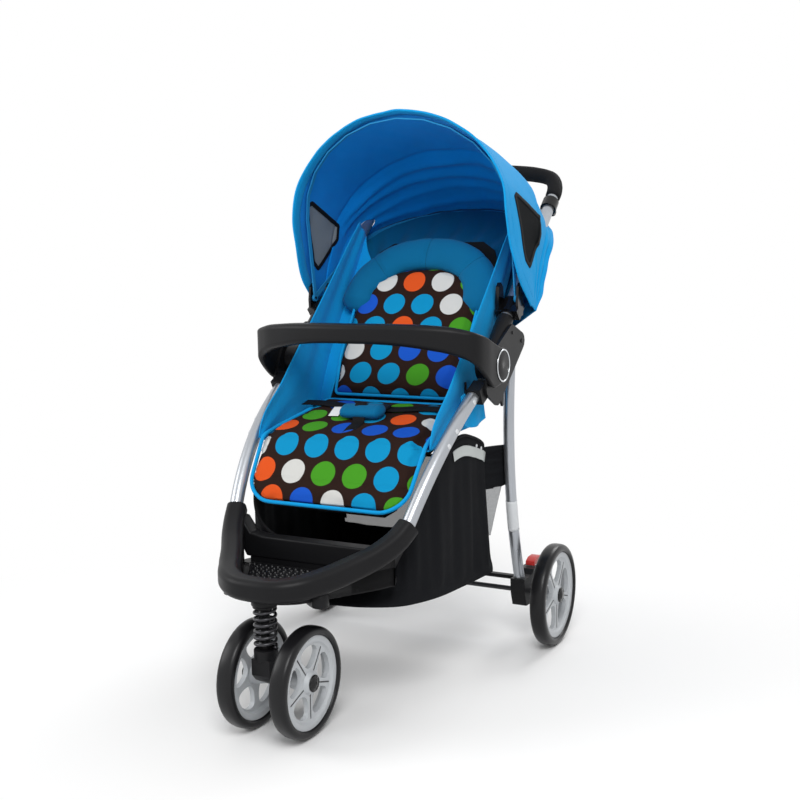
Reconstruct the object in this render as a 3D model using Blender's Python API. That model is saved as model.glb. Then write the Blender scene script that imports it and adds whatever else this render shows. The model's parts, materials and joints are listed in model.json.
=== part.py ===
"""A three-wheeled folding stroller with a twin front caster, a hood and a basket.

Metres, +Z up, the front faces -Y, and the floor is z = 0. Every coordinate below is
measured from the point on the floor midway between the two axles; the root empty then
moves the whole stroller so that the middle of its footprint is on the origin.
"""

import math

import bmesh
import bpy
import numpy as np
from mathutils import Matrix

# Clearances
FIT = 0.0003
RUN = 0.0010

# Frame tubes
SIDE_X = 0.212
TUBE_R = 0.0125
TUBE_WALL = 0.0015
LEG_R = 0.011

# Main hinge, on the axis along X
HINGE_Y = 0.102
HINGE_Z = 0.595
HUB_R = 0.030
HUB_IN = SIDE_X - 0.0130
HUB_OUT = SIDE_X + 0.0105
CHEEK_THICK = 0.0050
CHEEK_IN = HUB_OUT + 0.0065
CHEEK_OUT = CHEEK_IN + CHEEK_THICK
PIN_R = 0.005
KNOB = (0.100, 0.534)
KNOB_R = 0.0050

# Push tube
PUSH_LEAN = math.radians(42.0)
PUSH_START = 0.040
PUSH_BEND = 0.495
PUSH_REACH = 0.582
GRIP_R = 0.016
GRIP_START = 0.481
SLEEVE_R = 0.016
SLEEVE_END = 0.122
COLLAR_R = 0.0172
COLLAR_START = 0.445
COLLAR_END = 0.470

# Front tubes and footrest
FRONT_TOP = (SIDE_X, 0.075, 0.562)
FRONT_FOOT = (0.178, -0.172, 0.341)
FRONT_BOW = 0.024
FRONT_BOW_X = 0.006
SOCKET_DEPTH = 0.020
STEP_FRONT = -0.188
STEP_REAR = -0.158
STEP_LOW = 0.260
STEP_HIGH = 0.300
FLOOR_LOW = 0.240
FLOOR_HIGH = 0.2505
MAT_THICK = 0.003

# Bumper bar
BAR_PLATE = 0.008
BAR_GAP = 0.002
BAR_HALF = CHEEK_OUT + BAR_GAP + BAR_PLATE
BAR_HUB_R = 0.0345
RING_R = 0.0310
RING_WIDE = 0.0032

# Wheels
REAR_WHEEL_R = 0.1040
REAR_TYRE_DEEP = 0.0155
REAR_RIM_R = REAR_WHEEL_R - REAR_TYRE_DEEP
FRONT_WHEEL_R = 0.0945
FRONT_TYRE_DEEP = 0.0141
FRONT_RIM_R = FRONT_WHEEL_R - FRONT_TYRE_DEEP
TYRE_WIDTH = 0.032
WHEEL_SEGMENTS = 28
CUTOUTS = 5
SPOKE_WIDTH = 0.013

# Rear frame
REAR_AXLE_Y = 0.2957
REAR_AXLE_R = 0.005
REAR_TRACK = 0.5486
REAR_AXLE_HALF = REAR_TRACK / 2 + 0.0137
LEG_PIVOT_Y = 0.222
LEG_PIVOT_Z = 0.632
LEG_FOOT_Y = REAR_AXLE_Y - 0.0177
LEG_FOOT_Z = REAR_WHEEL_R
LEG_BOW = 0.037
BRACKET_IN = SIDE_X - 0.0150
BRACKET_OUT = SIDE_X + 0.0160
PEDAL_Y = REAR_AXLE_Y + 0.0343
PEDAL_Z = REAR_WHEEL_R + 0.0530

# Caster
STEM_Y = -0.344
STEM_R = 0.008
FRONT_AXLE_Y = -0.3052
FRONT_AXLE_R = 0.004
FRONT_TRACK = 0.1042
FRONT_AXLE_HALF = FRONT_TRACK / 2 + 0.0139
SPRING_R = 0.0175
SPRING_WIRE = 0.0028
FORK_TOP = FRONT_WHEEL_R + 0.0635
SPRING_LOW = FORK_TOP + 0.0032
SPRING_HIGH = 0.2262
SPRING_TURNS = 6.1
FORK_HALF = 0.018

# Seat
SEAT_CREASE = (-0.084, 0.468)
SEAT_BACK = (0.102, 0.517)
LEGREST_LOW = (-0.160, 0.357)
BACK_LEAN = math.radians(56.0)
PAD_THICK = 0.022
BOARD_THICK = 0.007
RECLINE_OFFSET = 0.0265

# Hood
HOOD_Y = 0.207
HOOD_Z = 0.715
CLOTH = 0.0025
FRONT_BOW_LEAN = math.radians(98.0)
REAR_BOW_LEAN = math.radians(31.0)
BOW_WIDE = 0.010
BOW_THICK = 0.0023

# Basket
BASKET_WALL = 0.0025

scene = bpy.context.scene


def clear_scene():
    for obj in list(bpy.data.objects):
        bpy.data.objects.remove(obj)


# Shapes: each function returns points and faces
def unit(v):
    v = np.asarray(v, float)
    return v / np.linalg.norm(v)


def frames(path, first):
    """A tangent and two side directions at each point, carried along without twist."""
    path = np.asarray(path, float)
    count = len(path)
    tangents = []
    for i in range(count):
        a = path[max(i - 1, 0)]
        b = path[min(i + 1, count - 1)]
        tangents.append(unit(b - a))
    normal = np.asarray(first, float)
    out = []
    for tangent in tangents:
        normal = unit(normal - tangent * normal.dot(tangent))
        out.append((tangent, normal, np.cross(tangent, normal)))
    return out


def loft(rings, loop=False):
    """Rings of equal count joined side by side, capped at both ends unless it is a loop."""
    count = len(rings[0])
    points = np.concatenate([np.asarray(r, float) for r in rings])
    faces = []
    last = len(rings) if loop else len(rings) - 1
    for i in range(last):
        a = i * count
        b = ((i + 1) % len(rings)) * count
        for j in range(count):
            k = (j + 1) % count
            faces.append((a + j, a + k, b + k, b + j))
    if not loop:
        faces.append(tuple(range(count - 1, -1, -1)))
        end = (len(rings) - 1) * count
        faces.append(tuple(range(end, end + count)))
    return points, faces


def circle(centre, a, b, radius, sides, phase=0.0):
    angles = phase + np.arange(sides) * 2 * math.pi / sides
    return centre + radius * (np.outer(np.cos(angles), a) + np.outer(np.sin(angles), b))


def pipe(path, radius, bore=None, sides=10, first=(1, 0, 0)):
    """A round bar along the path, or a tube where a bore is given."""
    path = np.asarray(path, float)
    outer = []
    inner = []
    phase = math.pi / sides
    for p, (_, n, b) in zip(path, frames(path, first)):
        outer.append(circle(p, n, b, radius, sides, phase))
        if bore is not None:
            inner.append(circle(p, n, b, bore, sides, phase))
    if bore is None:
        return loft(outer)
    count = sides
    points = np.concatenate(outer + inner)
    base = len(path) * count
    faces = []
    for i in range(len(path) - 1):
        for j in range(count):
            k = (j + 1) % count
            a = i * count
            b = (i + 1) * count
            faces.append((a + j, a + k, b + k, b + j))
            faces.append((base + b + j, base + b + k, base + a + k, base + a + j))
    for j in range(count):
        k = (j + 1) % count
        e = (len(path) - 1) * count
        faces.append((j, base + j, base + k, k))
        faces.append((e + j, e + k, base + e + k, base + e + j))
    return points, faces


def lathe(profile, centre, segments=WHEEL_SEGMENTS, phase=0.0, axis="X"):
    """A closed profile of (radius, along) turned round an axis along X or Z."""
    rings = []
    for i in range(segments):
        angle = phase + i * 2 * math.pi / segments
        c = math.cos(angle)
        s = math.sin(angle)
        if axis == "X":
            rings.append([(h, r * c, r * s) for r, h in profile])
        else:
            rings.append([(r * c, r * s, h) for r, h in profile])
    points, faces = loft(rings, loop=True)
    return points + np.asarray(centre, float), faces


def prism(outline, low, high, axis="X"):
    """A flat outline pushed along an axis: (y, z) along X, (x, z) along Y, (x, y) along Z."""
    rings = []
    for h in (low, high):
        if axis == "X":
            rings.append([(h, a, b) for a, b in outline])
        elif axis == "Y":
            rings.append([(a, h, b) for a, b in outline])
        else:
            rings.append([(a, b, h) for a, b in outline])
    return loft(rings)


def cylinder(centre, radius, low, high, axis="X", sides=16):
    angles = (np.arange(sides) + 0.5) * 2 * math.pi / sides
    outline = [
        (centre[0] + radius * math.cos(a), centre[1] + radius * math.sin(a))
        for a in angles
    ]
    return prism(outline, low, high, axis)


def hull(points):
    """The convex outline round flat points."""
    points = sorted(set((round(a, 7), round(b, 7)) for a, b in points))
    out = []
    for run in (points, points[::-1]):
        part = []
        for p in run:
            while len(part) > 1:
                (ax, ay), (bx, by) = part[-2], part[-1]
                if (bx - ax) * (p[1] - ay) - (by - ay) * (p[0] - ax) > 0:
                    break
                part.pop()
            part.append(p)
        out += part[:-1]
    return out


def disc(y, z, radius, count=12):
    return [
        (
            y + radius * math.cos(2 * math.pi * i / count),
            z + radius * math.sin(2 * math.pi * i / count),
        )
        for i in range(count)
    ]


def rounded(width, height, radius, steps=2):
    """A rectangle with round corners about its middle, as flat points."""
    out = []
    corners = ((1, 1, 0), (-1, 1, 90), (-1, -1, 180), (1, -1, 270))
    for sx, sy, start in corners:
        cx = sx * (width / 2 - radius)
        cy = sy * (height / 2 - radius)
        for i in range(steps + 1):
            a = math.radians(start + 90 * i / steps)
            out.append((cx + radius * math.cos(a), cy + radius * math.sin(a)))
    return out


def sheet(grid, thickness):
    """A closed shell: the grid of points and the same grid moved along its normals."""
    grid = np.asarray(grid, float)
    rows, cols = grid.shape[:2]
    du = np.gradient(grid, axis=0)
    dv = np.gradient(grid, axis=1)
    normals = np.cross(du, dv)
    normals /= np.linalg.norm(normals, axis=2, keepdims=True) + 1e-12
    back = grid + normals * thickness
    points = np.concatenate([grid.reshape(-1, 3), back.reshape(-1, 3)])
    size = rows * cols
    faces = []
    for i in range(rows - 1):
        for j in range(cols - 1):
            a = i * cols + j
            b = a + cols
            faces.append((a, b, b + 1, a + 1))
            faces.append((size + a, size + a + 1, size + b + 1, size + b))
    edge = [(0, j) for j in range(cols)]
    edge += [(i, cols - 1) for i in range(1, rows)]
    edge += [(rows - 1, j) for j in range(cols - 2, -1, -1)]
    edge += [(i, 0) for i in range(rows - 2, 0, -1)]
    for (ia, ja), (ib, jb) in zip(edge, edge[1:] + edge[:1]):
        a = ia * cols + ja
        b = ib * cols + jb
        faces.append((a, b, size + b, size + a))
    return points, faces


def mirrored(shape):
    points, faces = shape
    return np.asarray(points) * (-1, 1, 1), faces


# Objects
def make(shape):
    points, faces = shape
    mesh = bpy.data.meshes.new("shape")
    mesh.from_pydata([tuple(p) for p in points], [], [tuple(f) for f in faces])
    bm = bmesh.new()
    bm.from_mesh(mesh)
    bmesh.ops.recalc_face_normals(bm, faces=bm.faces)
    bm.to_mesh(mesh)
    bm.free()
    obj = bpy.data.objects.new("shape", mesh)
    scene.collection.objects.link(obj)
    return obj


def combine(base, shape, operation):
    """The base joined with, or cut by, another shape. The result replaces the base's mesh."""
    other = make(shape)
    modifier = base.modifiers.new("combine", "BOOLEAN")
    modifier.operation = operation
    modifier.solver = "EXACT"
    modifier.object = other
    bpy.context.view_layer.update()
    graph = bpy.context.evaluated_depsgraph_get()
    mesh = bpy.data.meshes.new_from_object(base.evaluated_get(graph))
    base.modifiers.clear()
    base.data = mesh
    bpy.data.objects.remove(other)
    return base


def join(base, *shapes):
    for shape in shapes:
        combine(base, shape, "UNION")
    return base


def cut(base, *shapes):
    for shape in shapes:
        combine(base, shape, "DIFFERENCE")
    return base


def material(name, colour, roughness, metallic=0.0):
    mat = bpy.data.materials.new(name)
    mat.use_nodes = True
    shader = mat.node_tree.nodes["Principled BSDF"]
    shader.inputs["Base Color"].default_value = (*colour, 1.0)
    shader.inputs["Roughness"].default_value = roughness
    shader.inputs["Metallic"].default_value = metallic
    mat.diffuse_color = (*colour, 1.0)
    return mat


PALETTE = {
    "plastic": ((0.018, 0.018, 0.022), 0.45, 0.0),
    "gloss": ((0.010, 0.010, 0.012), 0.18, 0.0),
    "silver": ((0.42, 0.44, 0.48), 0.32, 0.9),
    "chrome": ((0.60, 0.60, 0.62), 0.15, 1.0),
    "steel": ((0.08, 0.08, 0.09), 0.35, 0.8),
    "rubber": ((0.012, 0.012, 0.013), 0.35, 0.0),
    "rim": ((0.40, 0.42, 0.45), 0.40, 0.1),
    "foam": ((0.012, 0.012, 0.013), 0.85, 0.0),
    "blue": ((0.002, 0.28, 0.62), 0.80, 0.0),
    "dots": ((0.030, 0.012, 0.008), 0.80, 0.0),
    "webbing": ((0.008, 0.008, 0.009), 0.75, 0.0),
    "mesh": ((0.010, 0.010, 0.012), 0.85, 0.0),
    "red": ((0.55, 0.010, 0.015), 0.35, 0.0),
}
BODIES = {}
SHARP = math.radians(38.0)


def body(name, place, parent):
    """An empty on a joint's axis, or at the root, that carries that body's pieces."""
    empty = bpy.data.objects.new(name, None)
    empty.empty_display_size = 0.05
    scene.collection.objects.link(empty)
    place = np.asarray(place, float)
    origin = np.zeros(3)
    if parent is not None:
        empty.parent, origin = BODIES[parent]
    empty.location = place - origin
    BODIES[name] = (empty, place)


def node(name, obj, colour, owner):
    """Names a piece, gives it its material and hangs it on its body."""
    obj.name = name
    obj.data.name = name
    empty, origin = BODIES[owner]
    obj.data.transform(Matrix.Translation([-v for v in origin]))
    obj.parent = empty
    base, rough, metal = PALETTE[colour]
    obj.data.materials.clear()
    obj.data.materials.append(material(name + "_" + colour, base, rough, metal))
    bm = bmesh.new()
    bm.from_mesh(obj.data)
    bmesh.ops.dissolve_degenerate(bm, dist=1e-6, edges=bm.edges)
    for face in bm.faces:
        face.smooth = True
        face.material_index = 0
    for edge in bm.edges:
        flat = len(edge.link_faces) == 2 and edge.calc_face_angle(0.0) <= SHARP
        edge.smooth = flat
    bm.to_mesh(obj.data)
    bm.free()
    return obj


def both(name, build, colour, owner):
    """A left and a right piece; the builder gives the right one, at positive x."""
    for side in ("right", "left"):
        obj = build()
        if side == "left":
            obj.data.transform(Matrix.Diagonal((-1, 1, 1, 1)))
            obj.data.flip_normals()
        place = owner if owner in BODIES else owner + "_" + side
        node(name + "_" + side, obj, colour, place)


# Paths
def push_point(x, along, lift=0.0):
    """A point of the push frame: so far along the tube from the hinge, so far above it."""
    c = math.cos(PUSH_LEAN)
    s = math.sin(PUSH_LEAN)
    return (x, HINGE_Y + along * c - lift * s, HINGE_Z + along * s + lift * c)


def push_half(start):
    """The push tube's right half from a place on its straight part to the handle's middle."""
    bend = [
        (SIDE_X, PUSH_BEND),
        (SIDE_X - 0.003, PUSH_BEND + 0.020),
        (SIDE_X - 0.0095, PUSH_BEND + 0.037),
        (SIDE_X - 0.019, PUSH_REACH - 0.037),
        (SIDE_X - 0.032, PUSH_REACH - 0.029),
        (0.155, PUSH_REACH - 0.020),
        (0.115, PUSH_REACH - 0.011),
        (0.060, PUSH_REACH - 0.003),
        (0.0, PUSH_REACH),
    ]
    return [(SIDE_X, start)] + bend


def push_path(start):
    half = push_half(start)
    whole = half + [(-x, t) for x, t in half[-2::-1]]
    return [push_point(x, t) for x, t in whole]


def front_point(t):
    top = np.array(FRONT_TOP)
    foot = np.array(FRONT_FOOT)
    chord = foot - top
    normal = unit((0.0, chord[2], -chord[1])) * -1.0
    if normal[2] < 0:
        normal = -normal
    rise = 4 * t * (1 - t)
    return top + chord * t + rise * (FRONT_BOW * normal + np.array((FRONT_BOW_X, 0, 0)))


def front_path(extra=SOCKET_DEPTH):
    path = [front_point(t) for t in np.linspace(0.0, 1.0, 9)]
    tail = unit(path[-1] - front_point(0.97))
    return path + [path[-1] + tail * extra]


def leg_path(low=0.0):
    pivot = np.array((SIDE_X, LEG_PIVOT_Y, LEG_PIVOT_Z))
    foot = np.array((SIDE_X, LEG_FOOT_Y, LEG_FOOT_Z))
    chord = foot - pivot
    forward = unit((0.0, chord[2], -chord[1]))
    path = []
    for t in np.linspace(-0.030, 1.0 - low, 10):
        path.append(pivot + chord * t + forward * LEG_BOW * 4 * t * (1 - t))
    return path


def back_point(x, along, out):
    """A point of the reclining back: so far up from the seat, so far out of its surface."""
    c = math.cos(BACK_LEAN)
    s = math.sin(BACK_LEAN)
    y = SEAT_BACK[0] + along * c - out * s
    z = SEAT_BACK[1] + along * s + out * c
    return (x, y, z)


# The footrest
def footrest_rings():
    half = [
        (0.1785, -0.1660, 0.3430, 0.0360, 0.0360),
        (0.1690, -0.1890, 0.3235, 0.0370, 0.0370),
        (0.1495, -0.2235, 0.3030, 0.0380, 0.0380),
        (0.1234, -0.2610, 0.2880, 0.0390, 0.0390),
        (0.0930, -0.3085, 0.2750, 0.0400, 0.0390),
        (0.0665, -0.3450, 0.2690, 0.0400, 0.0380),
        (0.0400, -0.3620, 0.2660, 0.0400, 0.0380),
        (0.0, -0.3670, 0.2650, 0.0400, 0.0380),
    ]
    whole = half + [(-x, y, z, w, h) for x, y, z, w, h in half[-2::-1]]
    path = np.array([s[:3] for s in whole])
    rings = []
    for (x, y, z, w, h), i in zip(whole, range(len(whole))):
        a = path[max(i - 1, 0)]
        b = path[min(i + 1, len(path) - 1)]
        tangent = unit(b - a)
        across = unit(np.cross(tangent, (0, 0, 1)))
        up = np.cross(across, tangent)
        ring = [
            np.array((x, y, z)) + across * p + up * q
            for p, q in rounded(w, h, 0.011, 2)
        ]
        rings.append(ring)
    return rings


def footrest_plan(inset, last):
    """The footrest's outer line seen from above, moved inwards, from right to left."""
    half = [
        (0.1860, -0.1900),
        (0.1650, -0.2340),
        (0.1400, -0.2720),
        (0.1100, -0.3190),
        (0.0800, -0.3600),
        (0.0450, -0.3810),
        (0.0, -0.3870),
    ]
    line = np.array(half + [(-x, y) for x, y in half[-2::-1]])
    out = []
    for i, p in enumerate(line):
        way = unit(line[min(i + 1, len(line) - 1)] - line[max(i - 1, 0)])
        q = p + inset * np.array((way[1], -way[0]))
        if np.dot(q - p, np.array((0.0, -0.20)) - p) < 0:
            q = 2 * p - q
        out.append((float(q[0]), min(float(q[1]), last)))
    out[0] = (out[0][0], last)
    out[-1] = (out[-1][0], last)
    return out


def build_footrest():
    obj = make(loft(footrest_rings()))
    step = [
        (-0.170, 0.332),
        (-0.170, 0.304),
        (-0.146, STEP_LOW),
        (0.146, STEP_LOW),
        (0.170, 0.304),
        (0.170, 0.332),
        (0.156, 0.332),
        (0.136, STEP_HIGH + 0.004),
        (0.110, STEP_HIGH),
        (-0.110, STEP_HIGH),
        (-0.136, STEP_HIGH + 0.004),
        (-0.156, 0.332),
    ]
    floor = footrest_plan(0.026, -0.190)
    side = 0.150
    floor += [(-side, STEP_REAR - 0.001), (side, STEP_REAR - 0.001)]
    skirt = footrest_plan(0.025, -0.190)
    skirt = skirt + footrest_plan(0.034, -0.189)[::-1]
    rear = [p for p in footrest_plan(0.025, -0.190)[::-1] if p[1] > -0.262 and p[0] > 0]
    wall = [p for p in footrest_plan(0.034, -0.189) if p[1] > -0.262 and p[0] > 0]
    join(
        obj,
        prism(step, STEP_FRONT, STEP_REAR, "Y"),
        prism(floor, FLOOR_LOW, FLOOR_HIGH, "Z"),
        prism(skirt, FLOOR_LOW + 0.0015, 0.2740, "Z"),
        prism(wall + rear, FLOOR_LOW + 0.003, 0.2980, "Z"),
        prism([(-x, y) for x, y in wall + rear], FLOOR_LOW + 0.003, 0.2980, "Z"),
        prism([(-0.138, -0.186), (0.138, -0.186), (0.138, -0.161), (-0.138, -0.161)],
              FLOOR_LOW + 0.002, STEP_LOW + 0.004, "Z"),
        cylinder((0.0, STEM_Y), 0.0225, 0.2336, 0.2500, "Z"),
        cylinder((0.088, -0.312), 0.0150, 0.2320, 0.2620, "Z", 12),
        cylinder((-0.088, -0.312), 0.0150, 0.2320, 0.2620, "Z", 12),
    )
    cut(obj, cylinder((0.0, STEM_Y), STEM_R + FIT, 0.2200, 0.2488, "Z", 16))
    socket = front_path(SOCKET_DEPTH + FIT)[-3:]
    for flip in (1, -1):
        hole = pipe([p * (flip, 1, 1) for p in socket], TUBE_R + FIT)
        cut(obj, hole)
    return obj


def build_mat():
    line = footrest_plan(0.0475, -0.205)
    return make(prism(line, FLOOR_HIGH + FIT, FLOOR_HIGH + MAT_THICK, "Z"))


# The hinges
def build_cheek(knob=False):
    ear = disc(0.175, 0.651, 0.016) + disc(LEG_PIVOT_Y, LEG_PIVOT_Z, 0.017)
    low = disc(0.062, 0.556, 0.016) + disc(*KNOB, 0.0145)
    plate = hull(disc(HINGE_Y, HINGE_Z, 0.034, 16) + ear + low)
    tail = [(0.100, 0.575), (0.112, 0.535), (0.124, 0.515), (0.129, 0.517), (0.133, 0.575)]
    obj = make(prism(plate, CHEEK_IN, CHEEK_OUT))
    path = np.array(front_path())
    start = path[0] + (path[1] - path[0]) * 0.25
    way = unit(path[1] - path[0])
    side = np.array((1.0, 0.0, 0.0))
    up = np.cross(side, way)
    if up[2] < 0:
        up = -up
    section = [
        (-0.0155, -0.007),
        (-0.008, -0.0155),
        (0.0178, -0.0155),
        (0.0178, 0.0155),
        (-0.008, 0.0155),
        (-0.0155, 0.007),
    ]
    rings = []
    for along in (0.0, 0.034):
        rings.append([start + way * along + side * a + up * b for a, b in section])
    join(
        obj,
        prism(tail, CHEEK_IN + 0.0004, CHEEK_OUT - 0.0004),
        loft(rings),
        cylinder((HINGE_Y, HINGE_Z), PIN_R, HUB_IN - 0.001, BAR_HALF - 0.001, sides=16),
        cylinder((LEG_PIVOT_Y, LEG_PIVOT_Z), 0.004, SIDE_X - 0.0120, CHEEK_OUT + 0.0015, sides=12),
        cylinder((0.175, 0.651), 0.0035, CHEEK_IN + 0.001, CHEEK_OUT + 0.0015, sides=12),
    )
    cut(obj, pipe([path[0] - way * 0.004] + list(path[:5]), TUBE_R + FIT))
    if knob:
        cut(obj, cylinder(KNOB, KNOB_R + FIT, CHEEK_IN - 0.03, CHEEK_OUT + 0.02, sides=12))
    return obj


def build_sleeve():
    obj = make(cylinder((HINGE_Y, HINGE_Z), HUB_R, HUB_IN, HUB_OUT, sides=24))
    body_path = [push_point(SIDE_X, t) for t in (0.012, SLEEVE_END)]
    join(obj, pipe(body_path, SLEEVE_R, sides=16))
    bore = [push_point(SIDE_X, t) for t in (PUSH_START - FIT, SLEEVE_END + 0.02)]
    cut(
        obj,
        pipe(bore, TUBE_R + FIT),
        cylinder((HINGE_Y, HINGE_Z), PIN_R + FIT, 0.18, 0.26, sides=16),
    )
    return obj


# The bumper bar
def bar_rings():
    hub_z = HINGE_Z
    half = [
        (BAR_HALF, HINGE_Y - 0.004, BAR_PLATE, hub_z - 0.0340, hub_z + 0.0340),
        (BAR_HALF, 0.062, BAR_PLATE, 0.5580, 0.6410),
        (BAR_HALF, 0.032, BAR_PLATE, 0.5775, 0.6520),
    ]
    stations = (
        (14, 0.0125, 0.6030, 0.6620),
        (32, 0.0255, 0.6205, 0.6710),
        (50, 0.036, 0.6320, 0.6760),
        (70, 0.043, 0.6405, 0.6780),
        (90, 0.045, 0.6420, 0.6780),
    )
    for angle, width, low, high in stations:
        a = math.radians(angle)
        half.append((BAR_HALF * math.cos(a), 0.02 - 0.08 * math.sin(a), width, low, high))
    whole = half + [(-x, y, w, a, b) for x, y, w, a, b in half[-2::-1]]
    path = np.array([(s[0], s[1], 0.0) for s in whole])
    rings = []
    for i, (x, y, w, low, high) in enumerate(whole):
        a = path[max(i - 1, 0)]
        b = path[min(i + 1, len(path) - 1)]
        tangent = unit(b - a)
        if i <= 1 or i >= len(whole) - 2:
            tangent = np.array((0.0, -1.0 if i < 4 else 1.0, 0.0))
        inward = np.cross((0, 0, 1), tangent)
        if inward.dot(np.array((0, 0.06, 0)) - path[i]) < 0:
            inward = -inward
        middle = np.array((x, y, (low + high) / 2)) + inward * w / 2
        radius = min(0.009, w / 2 - 0.0008)
        ring = [
            middle + inward * p + np.array((0, 0, q))
            for p, q in rounded(w, high - low, radius, 2)
        ]
        rings.append(ring)
    return rings


def build_bar():
    obj = make(loft(bar_rings()))
    for flip in (1, -1):
        low, high = sorted((flip * (BAR_HALF - BAR_PLATE), flip * BAR_HALF))
        join(obj, cylinder((HINGE_Y, HINGE_Z), BAR_HUB_R, low, high, sides=28))
        cut(obj, cylinder((HINGE_Y, HINGE_Z), PIN_R + FIT, min(low, high) - 0.01,
                          max(low, high) - 0.0005 if flip > 0 else high + 0.01, sides=16)
            if flip > 0 else
            cylinder((HINGE_Y, HINGE_Z), PIN_R + FIT, low + 0.0005, high + 0.01, sides=16))
    return obj


def build_ring():
    x = BAR_HALF + FIT
    inner = RING_R - RING_WIDE
    profile = [
        (inner, x),
        (RING_R, x),
        (RING_R - 0.0006, x + 0.0016),
        (inner + 0.0006, x + 0.0016),
    ]
    return make(lathe(profile, (0, HINGE_Y, HINGE_Z), 28))


# Wheels
def build_tyre(radius, rim, x, y, z):
    """A tyre whose tread is flats, one of them flat on the floor."""
    outer = radius / math.cos(math.pi / WHEEL_SEGMENTS)
    h = TYRE_WIDTH / 2
    profile = [
        (rim, -h + 0.0050),
        (rim, h - 0.0050),
        (rim + 0.0035, h - 0.0005),
        (outer - 0.0065, h),
        (outer - 0.0018, h - 0.0045),
        (outer, h - 0.0110),
        (outer, -h + 0.0110),
        (outer - 0.0018, -h + 0.0045),
        (outer - 0.0065, -h),
        (rim + 0.0035, -h + 0.0005),
    ]
    phase = -math.pi / 2 + math.pi / WHEEL_SEGMENTS
    return make(lathe(profile, (x, y, z), WHEEL_SEGMENTS, phase))


def build_rim(rim, axle, hub_in, hub_out, x, y, z):
    """A wheel with a broad flange, a web with five openings and a hub, outward at +x."""
    web = rim - 0.0125
    edge = rim - FIT
    profile = [
        (axle + FIT, hub_in),
        (axle + FIT, hub_out),
        (0.0150, hub_out),
        (0.0200, 0.0070),
        (web - 0.0010, 0.0070),
        (web + 0.0020, 0.0115),
        (edge, 0.0115),
        (edge, -0.0115),
        (web + 0.0020, -0.0115),
        (web - 0.0010, -0.0020),
        (0.0200, -0.0020),
        (0.0130, hub_in),
    ]
    phase = -math.pi / 2 + math.pi / WHEEL_SEGMENTS
    obj = make(lathe(profile, (x, y, z), WHEEL_SEGMENTS, phase))
    middle = (0.0255 + web - 0.0035) / 2
    deep = (web - 0.0035 - 0.0255) / 2
    for i in range(CUTOUTS):
        aim = math.pi / 2 + 2 * math.pi * i / CUTOUTS
        outline = []
        for j in range(12):
            a = 2 * math.pi * (j + 0.5) / 12
            s = math.copysign(abs(math.sin(a)) ** 0.75, math.sin(a))
            c = math.copysign(abs(math.cos(a)) ** 0.75, math.cos(a))
            r = middle + deep * s
            spread = (math.pi / CUTOUTS - SPOKE_WIDTH / 2 / r) * c
            outline.append((y + r * math.cos(aim + spread), z + r * math.sin(aim + spread)))
        cut(obj, prism(outline, x - 0.011, x + 0.011))
    return obj


def build_cap(radius, x, y, z):
    obj = make(cylinder((y, z), radius, x, x + 0.0030, sides=16))
    join(obj, cylinder((y, z), radius * 0.55, x + 0.001, x + 0.0045, sides=12))
    return obj


# The caster
def build_spring():
    count = int(round(SPRING_TURNS * 8))
    path = []
    for i in range(count + 1):
        f = i / count
        a = 2 * math.pi * SPRING_TURNS * f
        z = SPRING_LOW + (SPRING_HIGH - SPRING_LOW) * f
        path.append((SPRING_R * math.cos(a), STEM_Y + SPRING_R * math.sin(a), z))
    pitch = (SPRING_HIGH - SPRING_LOW) / SPRING_TURNS
    print("front_spring gap between curls, mm:", round((pitch - 2 * SPRING_WIRE) * 1000, 2))
    return make(pipe(path, SPRING_WIRE, sides=6, first=(1, 0, 0)))


def build_fork():
    z = FRONT_WHEEL_R
    arm = hull(
        disc(FRONT_AXLE_Y, z, 0.0145)
        + [(STEM_Y - 0.018, z + 0.0485), (STEM_Y - 0.018, z + 0.0215)]
        + [(STEM_Y - 0.008, z + 0.0095), (STEM_Y + 0.018, z + 0.0485)]
    )
    obj = make(prism(arm, -FORK_HALF, FORK_HALF))
    join(obj, cylinder((0.0, STEM_Y), 0.0205, FORK_TOP - 0.0180, FORK_TOP, "Z", 24))
    cut(
        obj,
        cylinder((0.0, STEM_Y), STEM_R + FIT, FORK_TOP - 0.0460, FORK_TOP + 0.0120, "Z", 16),
        cylinder((FRONT_AXLE_Y, z), FRONT_AXLE_R + FIT, -0.03, 0.03, sides=12),
    )
    return obj


def build_stem():
    obj = make(cylinder((0.0, STEM_Y), STEM_R, FORK_TOP - 0.0300, 0.2480, "Z", 16))
    join(obj, cylinder((0.0, STEM_Y), 0.0205, 0.2294, 0.2330, "Z", 24))
    return obj


# The rear frame
def build_leg():
    obj = make(pipe(leg_path(0.02), LEG_R, LEG_R - TUBE_WALL))
    cut(obj, cylinder((LEG_PIVOT_Y, LEG_PIVOT_Z), 0.0043, 0.18, 0.24, sides=12))
    return obj


def build_bracket():
    z = REAR_WHEEL_R
    side = [
        (-0.0337, -0.0220),
        (0.0193, -0.0240),
        (0.0493, -0.0120),
        (0.0703, 0.0020),
        (0.0703, 0.0280),
        (0.0383, 0.0450),
        (0.0083, 0.0450),
        (-0.0037, 0.0360),
        (-0.0457, 0.0360),
        (-0.0437, 0.0060),
    ]
    side = [(REAR_AXLE_Y + y, z + dz) for y, dz in side]
    obj = make(prism(side, BRACKET_IN, BRACKET_OUT))
    path = leg_path(0.02)
    hole = list(path[-5:])
    hole[-1] = hole[-1] + unit(hole[-1] - hole[-2]) * FIT
    cut(
        obj,
        pipe(hole, LEG_R + FIT),
        cylinder((REAR_AXLE_Y, z), REAR_AXLE_R + FIT, 0.18, 0.25, sides=12),
    )
    return obj


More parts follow.
